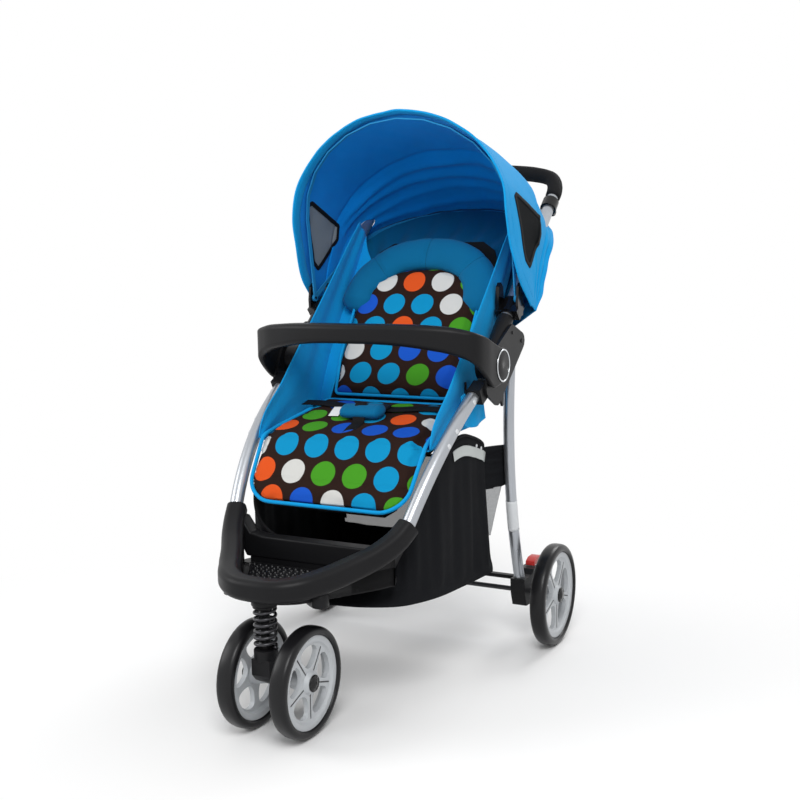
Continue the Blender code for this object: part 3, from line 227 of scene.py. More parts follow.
def ribbon(path, normals, width, thick, crown=0.0):
    """A flat strap along a path, with rounded edges; normals point out of its face."""
    path = np.asarray(path, float)
    normals = np.asarray(normals, float)
    section = [(-0.5, 0), (-0.44, -0.5), (0.44, -0.5), (0.5, 0), (0.44, 0.5), (0, 0.5 + crown),
               (-0.44, 0.5)]
    rings = []
    for i, p in enumerate(path):
        tangent = unit(path[min(i + 1, len(path) - 1)] - path[max(i - 1, 0)])
        normal = unit(normals[i] - tangent * normals[i].dot(tangent))
        side = np.cross(tangent, normal)
        rings.append([p + side * width * a + normal * thick * b for a, b in section])
    return loft(rings)


def lathe(profile, centre, segments=96, axis="X", loop=True):
    """A profile of (radius, along) turned round an axis along X or Z."""
    angles = np.arange(segments) * 2 * math.pi / segments
    profile = np.asarray(profile, float)
    rings = []
    for a in angles:
        r = profile[:, 0]
        if axis == "X":
            ring = np.column_stack([profile[:, 1], r * math.cos(a), r * math.sin(a)])
        else:
            ring = np.column_stack([r * math.cos(a), r * math.sin(a), profile[:, 1]])
        rings.append(ring + np.asarray(centre, float))
    count = len(profile)
    faces = []
    for i in range(segments):
        k = (i + 1) % segments
        for j in range(count if loop else count - 1):
            m = (j + 1) % count
            faces.append((i * count + j, i * count + m, k * count + m, k * count + j))
    points = np.concatenate(rings)
    if not loop:
        faces.append(tuple(i * count for i in range(segments)))
        faces.append(tuple(i * count + count - 1 for i in range(segments))[::-1])
    return points, faces


def prism(outline, low, high, axis="X"):
    rings = []
    for h in (low, high):
        if axis == "X":
            rings.append([(h, a, b) for a, b in outline])
        elif axis == "Y":
            rings.append([(a, h, b) for a, b in outline])
        else:
            rings.append([(a, b, h) for a, b in outline])
    return loft(rings)


def rounded(width, height, radius, steps=5):
    """A rectangle with round corners about its middle, as flat points."""
    out = []
    for sx, sy, start in ((1, 1, 0), (-1, 1, 90), (-1, -1, 180), (1, -1, 270)):
        cx = sx * (width / 2 - radius)
        cy = sy * (height / 2 - radius)
        for i in range(steps + 1):
            a = math.radians(start + 90 * i / steps)
            out.append((cx + radius * math.cos(a), cy + radius * math.sin(a)))
    return out


def together(*shapes):
    """Several shapes as one."""
    points = []
    faces = []
    start = 0
    for p, f in shapes:
        points.append(np.asarray(p, float))
        faces += [tuple(i + start for i in face) for face in f]
        start += len(p)
    return np.concatenate(points), faces


def mirrored(shape):
    points, faces = shape
    return np.asarray(points) * (-1, 1, 1), [tuple(f)[::-1] for f in faces]


def waves(points, seed, length, count=5):
    """A smooth random value for each point, from a few crossing waves."""
    rng = np.random.default_rng(seed)
    points = np.asarray(points, float)
    total = np.zeros(len(points))
    for _ in range(count):
        way = unit(rng.normal(size=3)) * 2 * math.pi / (length * rng.uniform(0.7, 1.5))
        total += np.sin(points @ way + rng.uniform(0, 6.28))
    return total / count


# Objects
def mesh_object(name, shape, closed=True):
    points, faces = shape
    mesh = bpy.data.meshes.new(name)
    mesh.from_pydata(np.asarray(points, float).tolist(), [], [list(f) for f in faces])
    bm = bmesh.new()
    bm.from_mesh(mesh)
    if closed:
        bmesh.ops.recalc_face_normals(bm, faces=bm.faces)
    for face in bm.faces:
        face.smooth = True
    bm.to_mesh(mesh)
    bm.free()
    obj = bpy.data.objects.new(name, mesh)
    bpy.context.scene.collection.objects.link(obj)
    return obj


def applied(obj):
    """The object with its modifiers made part of its mesh."""
    bpy.context.view_layer.update()
    graph = bpy.context.evaluated_depsgraph_get()
    mesh = bpy.data.meshes.new_from_object(obj.evaluated_get(graph))
    obj.modifiers.clear()
    obj.data = mesh
    return obj


def bevelled(obj, width, segments=2, angle=35.0):
    bevel = obj.modifiers.new("edges", "BEVEL")
    bevel.width = width
    bevel.segments = segments
    bevel.limit_method = "ANGLE"
    bevel.angle_limit = math.radians(angle)
    bevel.use_clamp_overlap = True
    weights = obj.modifiers.new("normals", "WEIGHTED_NORMAL")
    weights.keep_sharp = True
    return obj


def thickened(obj, thickness, offset=0.0, rim=True):
    wall = obj.modifiers.new("thickness", "SOLIDIFY")
    wall.thickness = thickness
    wall.offset = offset
    wall.use_rim = rim
    return obj


def place_piece(obj, finish, body, stands_for=()):
    """Moves a made object into the frame, gives it its finish and hangs it on its body."""
    obj.data.transform(Matrix.Translation((0, ZERO_Y, 0)))
    for item in [finish] if not isinstance(finish, (list, tuple)) else finish:
        obj.data.materials.append(item)
    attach(obj, body)
    if stands_for:
        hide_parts(*([stands_for] if isinstance(stands_for, str) else stands_for))
    return obj


def add_piece(name, shape, finish, body, stands_for=(), edge=0.0, closed=True):
    obj = mesh_object(name, shape, closed)
    if edge:
        bevelled(obj, edge)
    return place_piece(obj, finish, body, stands_for)


def cut(obj, *shapes):
    """Cuts shapes out of an object."""
    other = mesh_object("cutter", together(*shapes))
    tool = obj.modifiers.new("cut", "BOOLEAN")
    tool.operation = "DIFFERENCE"
    tool.solver = "EXACT"
    tool.object = other
    applied(obj)
    bpy.data.objects.remove(other)
    return obj


def refined(node, finish, width, segments=2, angle=30.0):
    """A copy of a frame node with softly rounded edges, which stands for it."""
    source = frame["nodes"][node]
    bm = bmesh.new()
    bm.from_mesh(source.data)
    bmesh.ops.remove_doubles(bm, verts=bm.verts, dist=1e-5)
    bmesh.ops.dissolve_limit(bm, angle_limit=math.radians(1.0), verts=bm.verts, edges=bm.edges)
    for face in bm.faces:
        face.smooth = True
    mesh = bpy.data.meshes.new(node + "_look")
    bm.to_mesh(mesh)
    bm.free()
    obj = bpy.data.objects.new(node + "_look", mesh)
    bpy.context.scene.collection.objects.link(obj)
    obj.data.materials.append(finish)
    bevelled(obj, width, segments, angle)
    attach(obj, source["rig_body"])
    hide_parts(node)
    return obj


def refined_pair(node, finish, width, segments=2):
    for side in ("_right", "_left"):
        refined(node + side, finish, width, segments)


def finish_node(node, finish):
    """Gives a frame node that stays in view its own material."""
    obj = frame["nodes"][node]
    obj.data.materials.clear()
    obj.data.materials.append(finish)


def padded_mesh(obj, voxel, pressure, cap, frames_run=20):
    """Stuffs a closed pad: an even skin, blown up by a short cloth simulation."""
    remesh = obj.modifiers.new("skin", "REMESH")
    remesh.mode = "VOXEL"
    remesh.voxel_size = voxel
    applied(obj)
    rest = np.array([v.co for v in obj.data.vertices], float)
    cloth = obj.modifiers.new("stuffing", "CLOTH")
    cloth.settings.use_pressure = True
    cloth.settings.uniform_pressure_force = pressure
    cloth.settings.effector_weights.gravity = 0.0
    cloth.settings.tension_stiffness = 12
    cloth.settings.bending_stiffness = 0.4
    cloth.settings.quality = 5
    cloth.collision_settings.use_collision = False
    cloth.point_cache.frame_start = 1
    cloth.point_cache.frame_end = frames_run
    scene = bpy.context.scene
    for number in range(1, frames_run + 1):
        scene.frame_set(number)
    graph = bpy.context.evaluated_depsgraph_get()
    run = obj.evaluated_get(graph).to_mesh()
    moved = np.array([v.co for v in run.vertices], float)
    obj.evaluated_get(graph).to_mesh_clear()
    obj.modifiers.clear()
    scene.frame_set(1)
    way = moved - rest
    far = np.linalg.norm(way, axis=1, keepdims=True)
    rest = rest + way * np.minimum(1.0, cap / np.maximum(far, 1e-9))
    obj.data.vertices.foreach_set("co", rest.astype(np.float32).ravel())
    for polygon in obj.data.polygons:
        polygon.use_smooth = True
    obj.data.update()
    return obj


def reshaped(obj, move):
    """Moves every vertex by a function of all the points and their normals."""
    mesh = obj.data
    points = np.array([v.co for v in mesh.vertices], float)
    normals = np.array([v.normal for v in mesh.vertices], float)
    mesh.vertices.foreach_set("co", np.asarray(move(points, normals), np.float32).ravel())
    mesh.update()
    return obj


def set_uv(obj, uv_of_point, name="cloth"):
    """A UV map in metres, from a function of the mesh's points."""
    mesh = obj.data
    points = np.array([v.co for v in mesh.vertices], float)
    uv = np.asarray(uv_of_point(points), float)
    layer = mesh.uv_layers.new(name=name)
    loops = np.zeros(len(mesh.loops), np.int32)
    mesh.loops.foreach_get("vertex_index", loops)
    layer.data.foreach_set("uv", uv[loops].astype(np.float32).ravel())


# Repeats made with Geometry Nodes
def feed(tree, node, values):
    """Fills a node's sockets: an output is linked, anything else is set on the socket."""
    for name, value in values.items():
        if isinstance(value, bpy.types.NodeSocket):
            tree.links.new(value, node.inputs[name])
        else:
            node.inputs[name].default_value = value
    return node


def add_node(tree, kind, values=None, **settings):
    """A new node with its settings and its sockets filled."""
    node = tree.nodes.new(kind)
    for name, value in settings.items():
        setattr(node, name, value)
    return feed(tree, node, values or {})


def bead_tree(name):
    """Beads in a row along a curve: stitches, rivets or ridges, as plain geometry."""
    tree = bpy.data.node_groups.new(name, "GeometryNodeTree")
    face = tree.interface
    face.new_socket("Geometry", in_out="INPUT", socket_type="NodeSocketGeometry")
    for label, value in (("Spacing", 0.006), ("Length", 0.0035), ("Thickness", 0.0009)):
        socket = face.new_socket(label, in_out="INPUT", socket_type="NodeSocketFloat")
        socket.default_value = value
    face.new_socket("Material", in_out="INPUT", socket_type="NodeSocketMaterial")
    face.new_socket("Geometry", in_out="OUTPUT", socket_type="NodeSocketGeometry")
    given = add_node(tree, "NodeGroupInput").outputs
    places = add_node(tree, "GeometryNodeCurveToPoints",
                      {"Curve": given["Geometry"], "Length": given["Spacing"]}, mode="LENGTH")
    bead = add_node(tree, "GeometryNodeMeshIcoSphere", {"Radius": 0.5, "Subdivisions": 1})
    size = add_node(tree, "ShaderNodeCombineXYZ",
                    {"X": given["Thickness"], "Y": given["Thickness"], "Z": given["Length"]})
    copies = add_node(tree, "GeometryNodeInstanceOnPoints",
                      {"Points": places.outputs["Points"], "Rotation": places.outputs["Rotation"],
                       "Instance": bead.outputs["Mesh"], "Scale": size.outputs["Vector"]})
    real = add_node(tree, "GeometryNodeRealizeInstances",
                    {"Geometry": copies.outputs["Instances"]})
    paint = add_node(tree, "GeometryNodeSetMaterial",
                     {"Geometry": real.outputs["Geometry"], "Material": given["Material"]})
    add_node(tree, "NodeGroupOutput", {"Geometry": paint.outputs["Geometry"]})
    return tree


def bead_row(name, lines, spacing, length, thickness, finish, body):
    """Rows of beads along lines, made with Geometry Nodes and turned into a mesh."""
    curve = bpy.data.curves.new(name, "CURVE")
    curve.dimensions = "3D"
    for line in lines:
        line = np.asarray(line, float)
        part = curve.splines.new("POLY")
        part.points.add(len(line) - 1)
        full = np.column_stack([line[:, 0], line[:, 1] + ZERO_Y, line[:, 2], np.ones(len(line))])
        part.points.foreach_set("co", full.astype(np.float32).ravel())
    maker = bpy.data.objects.new(name + "_line", curve)
    bpy.context.scene.collection.objects.link(maker)
    tree = bpy.data.node_groups.get("Bead Row") or bead_tree("Bead Row")
    modifier = maker.modifiers.new("beads", "NODES")
    modifier.node_group = tree
    values = {"Spacing": spacing, "Length": length, "Thickness": thickness, "Material": finish}
    for item in tree.interface.items_tree:
        if item.in_out == "INPUT" and item.name in values:
            modifier[item.identifier] = values[item.name]
    bpy.context.view_layer.update()
    graph = bpy.context.evaluated_depsgraph_get()
    mesh = bpy.data.meshes.new_from_object(maker.evaluated_get(graph))
    bpy.data.objects.remove(maker)
    for polygon in mesh.polygons:
        polygon.use_smooth = True
    obj = bpy.data.objects.new(name, mesh)
    bpy.context.scene.collection.objects.link(obj)
    if not mesh.materials:
        mesh.materials.append(finish)
    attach(obj, body)
    return obj


# Finishes: procedural materials
def finish(name, colour, roughness, metallic=0.0, vary=0.10, grain=900.0, bump=0.15,
           depth=0.0002, coat=0.0, blotch=9.0, level=0.5):
    """A painted, moulded or metal surface with patchy colour, uneven gloss and fine grain."""
    material = bpy.data.materials.new(name)
    material.use_nodes = True
    tree = material.node_tree
    place = add_node(tree, "ShaderNodeTexCoord").outputs["Object"]
    broad = add_node(tree, "ShaderNodeTexNoise",
                     {"Scale": blotch, "Detail": 5.0, "Vector": place}).outputs["Fac"]
    mix = add_node(tree, "ShaderNodeMix",
                   {"A": (*[c * (1 - vary) for c in colour], 1),
                    "B": (*[min(1.0, c * (1 + vary)) for c in colour], 1), "Factor": broad},
                   data_type="RGBA")
    fine = add_node(tree, "ShaderNodeTexNoise", {"Scale": grain, "Detail": 3.0, "Vector": place})
    gloss = add_node(tree, "ShaderNodeMapRange",
                     {"To Min": max(0.02, roughness - 0.06), "To Max": min(1.0, roughness + 0.06),
                      "Value": broad})
    raised = add_node(tree, "ShaderNodeBump",
                      {"Strength": bump, "Distance": depth, "Height": fine.outputs["Fac"]})
    feed(tree, tree.nodes["Principled BSDF"],
         {"Base Color": mix.outputs["Result"], "Roughness": gloss.outputs["Result"],
          "Normal": raised.outputs["Normal"], "Metallic": metallic, "Specular IOR Level": level,
          "Coat Weight": coat, "Coat Roughness": 0.08})
    return material


def weave(material, thread, strength, crease=0.0):
    """A plain weave over the piece's own UV map, in metres, with soft creases under it."""
    tree = material.node_tree
    raised = next(n for n in tree.nodes if n.type == "BUMP")
    flat = add_node(tree, "ShaderNodeUVMap", uv_map="cloth").outputs["UV"]
    waves_both_ways = [
        add_node(tree, "ShaderNodeTexWave",
                 {"Scale": 0.314 / thread, "Distortion": 0.4, "Detail": 1.0, "Vector": flat},
                 wave_type="BANDS", bands_direction=way).outputs["Fac"] for way in ("X", "Y")]
    both = add_node(tree, "ShaderNodeMath", dict(enumerate(waves_both_ways)),
                    operation="MULTIPLY")
    feed(tree, raised, {"Height": both.outputs["Value"], "Strength": strength,
                        "Distance": thread * 0.3})
    if crease:
        place = next(n for n in tree.nodes if n.type == "TEX_COORD").outputs["Object"]
        soft = add_node(tree, "ShaderNodeTexNoise",
                        {"Scale": 14.0, "Detail": 4.0, "Distortion": 0.6, "Vector": place})
        folds = add_node(tree, "ShaderNodeBump",
                         {"Strength": crease, "Distance": 0.006, "Height": soft.outputs["Fac"]})
        feed(tree, raised, {"Normal": folds.outputs["Normal"]})
    bright = max(next(n for n in tree.nodes if n.type == "MIX").inputs["B"].default_value[:3])
    feed(tree, tree.nodes["Principled BSDF"],
         {"Sheen Weight": min(0.05, bright * 0.15), "Sheen Roughness": 0.5,
          "Specular IOR Level": 0.08})
    return material


def dots(material, ground, colours, radius, across, along):
    """Staggered round dots printed on the cloth's UV map, each in one of the colours."""
    tree = material.node_tree

    def calc(operation, *values):
        return add_node(tree, "ShaderNodeMath", dict(enumerate(values)),
                        operation=operation).outputs["Value"]

    flat = add_node(tree, "ShaderNodeUVMap", uv_map="cloth").outputs["UV"]
    parts = add_node(tree, "ShaderNodeSeparateXYZ", {"Vector": flat}).outputs
    v = calc("DIVIDE", parts["Y"], along)
    row = calc("FLOOR", v)
    odd = calc("FLOORED_MODULO", row, 2.0)
    u = calc("ADD", calc("DIVIDE", parts["X"], across), calc("MULTIPLY", odd, 0.5))
    cell = calc("FLOOR", u)
    du = calc("MULTIPLY", calc("SUBTRACT", calc("SUBTRACT", u, cell), 0.5), across)
    dv = calc("MULTIPLY", calc("SUBTRACT", calc("SUBTRACT", v, row), 0.5), along)
    far = calc("SQRT", calc("ADD", calc("MULTIPLY", du, du), calc("MULTIPLY", dv, dv)))
    edge = add_node(tree, "ShaderNodeMapRange",
                    {"From Min": radius + 0.0004, "From Max": radius - 0.0004, "Value": far})
    key = add_node(tree, "ShaderNodeCombineXYZ", {"X": cell, "Y": row})
    pick = add_node(tree, "ShaderNodeTexWhiteNoise", noise_dimensions="2D")
    feed(tree, pick, {"Vector": key.outputs["Vector"]})
    ramp = add_node(tree, "ShaderNodeValToRGB", {"Fac": pick.outputs["Value"]})
    ramp.color_ramp.interpolation = "CONSTANT"
    stops = ramp.color_ramp.elements
    while len(stops) > 1:
        stops.remove(stops[-1])
    stops[0].position = 0.0
    stops[0].color = (*colours[0], 1)
    for i, colour in enumerate(colours[1:], 1):
        stops.new(i / len(colours)).color = (*colour, 1)
    mix = add_node(tree, "ShaderNodeMix",
                   {"A": (*ground, 1), "Factor": edge.outputs["Result"],
                    "B": ramp.outputs["Color"]}, data_type="RGBA")
    feed(tree, tree.nodes["Principled BSDF"], {"Base Color": mix.outputs["Result"]})
    return material


def see_through(material, alpha):
    material.node_tree.nodes["Principled BSDF"].inputs["Alpha"].default_value = alpha
    return material


LOOKS = {}


def make_finishes(colours):
    """Every finish, from the colours set in the panel."""
    blue = tuple(colours.blue)
    dark = tuple(c * 0.72 for c in blue)
    lining = (0.002, 0.235, 0.70)
    black = tuple(colours.black)
    silver = tuple(colours.silver)
    grey = tuple(colours.rim)
    LOOKS["blue"] = weave(finish("Blue Cloth", blue, 0.75, blotch=6.0), 0.0009, 0.35, 0.28)
    LOOKS["lining"] = weave(finish("Hood Lining", lining, 0.8, blotch=6.0), 0.0009,
                            0.35, 0.28)
    LOOKS["hem"] = weave(finish("Hood Hem", tuple(c * 0.86 for c in blue), 0.75), 0.0009, 0.35,
                         0.15)
    # Dark navy at a third of the cloth blue, for the rear curtain: painted shade for the shadow
    # behind the bolster.
    LOOKS["deep"] = weave(finish("Rear Cloth Painted Shade", tuple(c * 0.34 for c in blue), 0.8), 0.0009, 0.35,
                          0.3)
    LOOKS["sleeve"] = finish("Bow Sleeve", dark, 0.8, bump=0.4, grain=1200.0)
    LOOKS["teal"] = weave(finish("Blue Padding", tuple(c * 0.40 for c in blue), 0.8), 0.0011, 0.4)
    LOOKS["black_cloth"] = weave(finish("Black Cloth", (0.007, 0.0075, 0.009), 0.8), 0.001, 0.4,
                                 0.2)
    LOOKS["webbing"] = weave(finish("Webbing", (0.008, 0.008, 0.009), 0.7), 0.0016, 0.6)
    LOOKS["tag"] = weave(finish("Blank Tag", (0.75, 0.76, 0.76), 0.6), 0.0006, 0.2)
    LOOKS["reflector"] = finish("Reflective Strip", (0.50, 0.53, 0.52), 0.45, 0.2)
    LOOKS["window_out"] = weave(finish("Window Mesh Outside", (0.003, 0.004, 0.005), 0.85),
                                0.0015, 0.5)
    # The window mesh's inner face: painted light, a light grey for the daylight seen through the
    # mesh; the outer face keeps the mesh's near-black.
    LOOKS["window_in_painted_light"] = weave(finish("Window Mesh Inside Painted Light", (0.20, 0.23, 0.25), 0.7), 0.0015, 0.5,
                               0.35)
    LOOKS["mesh"] = see_through(weave(finish("Basket Mesh", (0.26, 0.27, 0.28), 0.7), 0.0025,
                                      0.5), 0.55)
    LOOKS["dots"] = dots(weave(finish("Dotted Cloth", colours.ground, 0.8), 0.0008, 0.3),
                         tuple(colours.ground),
                         [tuple(colours.dot_cyan), tuple(colours.dot_green),
                          tuple(colours.dot_white), tuple(colours.dot_orange),
                          tuple(colours.dot_royal), tuple(colours.dot_cyan),
                          tuple(colours.dot_green), tuple(colours.dot_royal),
                          tuple(colours.dot_white), tuple(colours.dot_cyan)],
                         colours.dot_size / 2, colours.dot_across, colours.dot_along)
    LOOKS["black"] = finish("Black Plastic", black, 0.40, bump=0.12, level=0.15)
    LOOKS["gloss"] = finish("Gloss Black", tuple(c * 0.6 for c in black), 0.16, bump=0.03,
                            coat=0.15, level=0.25)
    LOOKS["steel"] = finish("Dark Steel", (0.05, 0.05, 0.055), 0.3, 0.7)
    LOOKS["silver"] = finish("Silver Tube", silver, 0.30, 0.85, bump=0.06)
    LOOKS["chrome"] = finish("Chrome", (0.62, 0.64, 0.66), 0.14, 1.0, bump=0.02)
    LOOKS["tyre"] = finish("Tyre", (0.008, 0.008, 0.009), 0.30, bump=0.2, grain=400.0, level=0.25)
    LOOKS["rim"] = finish("Grey Rim", grey, 0.42, vary=0.05)
    # Near-black finish of the thin strips on the spokes: painted shade for the shadow inside the
    # rim's slots.
    LOOKS["groove"] = finish("Rim Groove Painted Shade", (0.02, 0.02, 0.022), 0.5)
    LOOKS["foam"] = finish("Handle Foam", (0.010, 0.010, 0.011), 0.78, bump=0.9, grain=1500.0,
                           depth=0.0006, level=0.1)
    LOOKS["red"] = finish("Red Plastic", (0.52, 0.02, 0.015), 0.35)
    LOOKS["rivet"] = finish("Pale Rivet", (0.62, 0.64, 0.66), 0.35, vary=0.04)
    LOOKS["mat"] = finish("Footrest Mat", (0.012, 0.012, 0.014), 0.16, bump=0.05, coat=0.3,
                          level=0.3)


# The frame's own lines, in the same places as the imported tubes
def push_point(x, along, lift=0.0):
    c = math.cos(PUSH_LEAN)
    s = math.sin(PUSH_LEAN)
    return np.array((x, HINGE_Y + along * c - lift * s, HINGE_Z + along * s + lift * c))


def push_line(start, count=140):
    bend = [(SIDE_X, PUSH_BEND - 0.010), (SIDE_X, PUSH_BEND), (SIDE_X - 0.003, PUSH_BEND + 0.020),
            (SIDE_X - 0.0095, PUSH_BEND + 0.037), (SIDE_X - 0.019, PUSH_REACH - 0.037),
            (SIDE_X - 0.032, PUSH_REACH - 0.029), (0.155, PUSH_REACH - 0.020),
            (0.115, PUSH_REACH - 0.011), (0.060, PUSH_REACH - 0.003), (0.0, PUSH_REACH)]
    half = [(SIDE_X, start)] + [p for p in bend if p[1] > start + 0.004]
    whole = half + [(-x, t) for x, t in half[-2::-1]]
    return spline([push_point(x, t) for x, t in whole], count)


def front_point(t):
    top = np.array(FRONT_TOP)
    chord = np.array(FRONT_FOOT) - top
    normal = unit((0.0, -chord[2], chord[1]))
    if normal[2] < 0:
        normal = -normal
    return top + chord * t + 4 * t * (1 - t) * (FRONT_BOW * normal + np.array((FRONT_BOW_X, 0, 0)))


def front_line(count=40):
    path = [front_point(t) for t in np.linspace(0.0, 1.0, count)]
    tail = unit(path[-1] - front_point(0.97))
    return np.array(path + [path[-1] + tail * 0.010, path[-1] + tail * 0.020])


def leg_point(t):
    pivot = np.array(LEG_PIVOT)
    chord = np.array(LEG_FOOT) - pivot
    forward = unit((0.0, chord[2], -chord[1]))
    return pivot + chord * t + forward * LEG_BOW * 4 * t * (1 - t)


def back_point(x, along, out):
    c = math.cos(BACK_LEAN)
    s = math.sin(BACK_LEAN)
    return np.array((x, SEAT_BACK[0] + along * c - out * s, SEAT_BACK[1] + along * s + out * c))


def tube_normals(path, out=(1, 0, 0)):
    return [n for _, n, _ in frames(path, out)]


def build_frame_tubes(size):
    add_piece("push_tube_look", pipe(push_line(PUSH_START), size.tube / 2, 28), LOOKS["silver"],
              "push_frame", "push_tube")
    for side, flip in (("right", 1), ("left", -1)):
        line = front_line() * (flip, 1, 1)
        add_piece("front_tube_" + side, pipe(line, size.tube / 2, 28), LOOKS["silver"],
                  "chassis", "front_tube_" + side)
        leg = np.array([leg_point(t) for t in np.linspace(-0.03, 1.0, 44)]) * (flip, 1, 1)
        add_piece("rear_leg_" + side, pipe(leg, LEG_R, 26), LOOKS["silver"], "rear_frame",
                  "rear_leg_" + side)
        band = np.array([leg_point(t) for t in np.linspace(0.60, 0.72, 12)]) * (flip, 1, 1)
        add_piece("leg_band_" + side, pipe(band, LEG_R + 0.0006, 26), LOOKS["rivet"],
                  "rear_frame")
        heads = []
        for t in (0.18, 0.415, 0.52):
            middle_ = front_point(t)
            out = unit((1.0, -0.12, 0.22))
            heads.append(dome(middle_ + out * TUBE_R * 0.98, out, 0.0048, 0.0018))
        shape = together(*heads)
        add_piece("tube_rivets_" + side, shape if flip > 0 else mirrored(shape),
                  LOOKS["rivet"], "chassis")


def dome(centre, out, radius, height, sides=20):
    """A round rivet head on a surface."""
    _, n, b = frames([centre - out, centre, centre + out], (0, 1, 0.1))[1]
    rings = []
    for u, h in ((1.0, -0.4), (1.0, 0.15), (0.86, 0.6), (0.5, 0.92), (0.12, 1.0)):
        a = np.arange(sides) * 2 * math.pi / sides
        ring = centre + out * height * h
        rings.append(ring + radius * u * (np.outer(np.cos(a), n) + np.outer(np.sin(a), b)))
    return loft(rings)


def build_handle(size):
    line = push_line(GRIP_START, 160)
    rings = []
    s = np.concatenate([[0], np.cumsum(np.linalg.norm(np.diff(line, axis=0), axis=1))])
    for i, (_, n, b) in enumerate(frames(line, (1, 0, 0))):
        near = min(s[i], s[-1] - s[i])
        radius = size.grip / 2 * (1 - 0.16 * math.exp(-(near / 0.0022) ** 2))
        radius += 0.00025 * math.sin(s[i] * 60)
        a = np.arange(30) * 2 * math.pi / 30
        rings.append(line[i] + radius * (np.outer(np.cos(a), n) + np.outer(np.sin(a), b)))
    grip = add_piece("foam_grip_look", loft(rings), LOOKS["foam"], "push_frame", "foam_grip")
    refined_pair("release_collar", LOOKS["gloss"], 0.0012, 3)


def build_hinges(size):
    refined_pair("hinge_cheek", LOOKS["black"], 0.0016)
    refined_pair("hinge_sleeve", LOOKS["black"], 0.0016)
    refined_pair("canopy_clamp", LOOKS["gloss"], 0.0016)
    refined("lock_knob", LOOKS["red"], 0.0012, 3)
    for side, flip in (("right", 1), ("left", -1)):
        x = BAR_HALF + 0.0003
        profile = [(0.0278, x), (0.0280, x + 0.0012), (0.0288, x + 0.0016), (0.0302, x + 0.0016),
                   (0.0309, x + 0.0012), (0.0310, x)]
        ring = lathe(profile, (0, HINGE_Y, HINGE_Z), 96)
        add_piece("hinge_ring_look_" + side, ring if flip > 0 else mirrored(ring),
                  LOOKS["chrome"], "bumper", "hinge_ring_" + side)
        plug = lathe([(0.0, x - 0.0012), (0.0277, x - 0.0012), (0.0277, x + 0.0004),
                      (0.0270, x + 0.0007), (0.0, x + 0.0009)], (0, HINGE_Y, HINGE_Z), 96)
        add_piece("hinge_disc_" + side, plug if flip > 0 else mirrored(plug), LOOKS["black"],
                  "bumper")


def build_bumper(size):
    half = [(BAR_HALF, HINGE_Y - 0.004, 0.0095, HINGE_Z - 0.034, HINGE_Z + 0.034),
            (BAR_HALF, 0.062, 0.0095, 0.5580, 0.6410), (BAR_HALF, 0.032, 0.0095, 0.5775, 0.6520)]
    for angle, width, low, high in BAR_STATIONS:
        a = math.radians(angle)
        half.append((BAR_HALF * math.cos(a), 0.02 - 0.08 * math.sin(a), width, low, high))
    whole = np.array(half + [(-x, y, w, a, b) for x, y, w, a, b in half[-2::-1]])
    line = spline(whole, 130)
    path = np.column_stack([line[:, 0], line[:, 1], np.zeros(len(line))])
    rings = []
    for i, (x, y, width, low, high) in enumerate(line):
        tangent = unit(path[min(i + 1, len(path) - 1)] - path[max(i - 1, 0)])
        if y > 0.062:
            tangent = np.array((0.0, -1.0 if x > 0 else 1.0, 0.0))
        inward = np.cross((0, 0, 1), tangent)
        if inward.dot(np.array((0, 0.06, 0)) - path[i]) < 0:
            inward = -inward
        centre = np.array((x, y, (low + high) / 2)) + inward * width / 2
        radius = min(0.010, width / 2 - 0.0008)
        rings.append([centre + inward * p + np.array((0, 0, q))
                      for p, q in rounded(width, high - low, radius, 7)])
    shapes = [loft(rings)]
    add_piece("bumper_bar_look", shapes[0], LOOKS["black"], "bumper", "bumper_bar",
              0.0006)
    for side, flip in (("right", 1), ("left", -1)):
        x = BAR_HALF
        hub = lathe([(0.0, x - 0.0092), (0.0330, x - 0.0092), (0.0344, x - 0.0080),
                     (0.0345, x - 0.0014), (0.0338, x - 0.0003), (0.0, x - 0.0001)],
                    (0, HINGE_Y, HINGE_Z), 96)
        add_piece("bumper_hub_" + side, hub if flip > 0 else mirrored(hub), LOOKS["black"],
                  "bumper")


BAR_STATIONS = ((14, 0.0125, 0.6030, 0.6620), (32, 0.0255, 0.6205, 0.6710),
                (50, 0.036, 0.6320, 0.6760), (70, 0.043, 0.6405, 0.6780),
                (90, 0.045, 0.6420, 0.6780))


# The footrest
FOOT_STATIONS = (
    (0.1785, -0.1660, 0.3430, 0.0360, 0.0360), (0.1690, -0.1890, 0.3235, 0.0370, 0.0370),
    (0.1495, -0.2235, 0.3030, 0.0380, 0.0380), (0.1234, -0.2610, 0.2880, 0.0390, 0.0390),
    (0.0930, -0.3085, 0.2750, 0.0400, 0.0390), (0.0665, -0.3450, 0.2690, 0.0400, 0.0380),
    (0.0400, -0.3620, 0.2660, 0.0400, 0.0380), (0.0, -0.3670, 0.2650, 0.0400, 0.0380))


def foot_plan(inset, last, count=90):
    half = [(0.1860, -0.1900), (0.1650, -0.2340), (0.1400, -0.2720), (0.1100, -0.3190),
            (0.0800, -0.3600), (0.0450, -0.3810), (0.0, -0.3870)]
    rows = half + [(-x, y) for x, y in half[-2::-1]]
    line = spline([(x, y, 0) for x, y in rows], count)[:, :2]
    out = []
    for i, p in enumerate(line):
        way = unit(line[min(i + 1, len(line) - 1)] - line[max(i - 1, 0)])
        q = p + inset * np.array((way[1], -way[0]))
        if np.dot(q - p, np.array((0.0, -0.20)) - p) < 0:
            q = 2 * p - q
        out.append((float(q[0]), min(float(q[1]), last)))
    return [p for i, p in enumerate(out) if i == 0 or math.dist(p, out[i - 1]) > 1e-4]


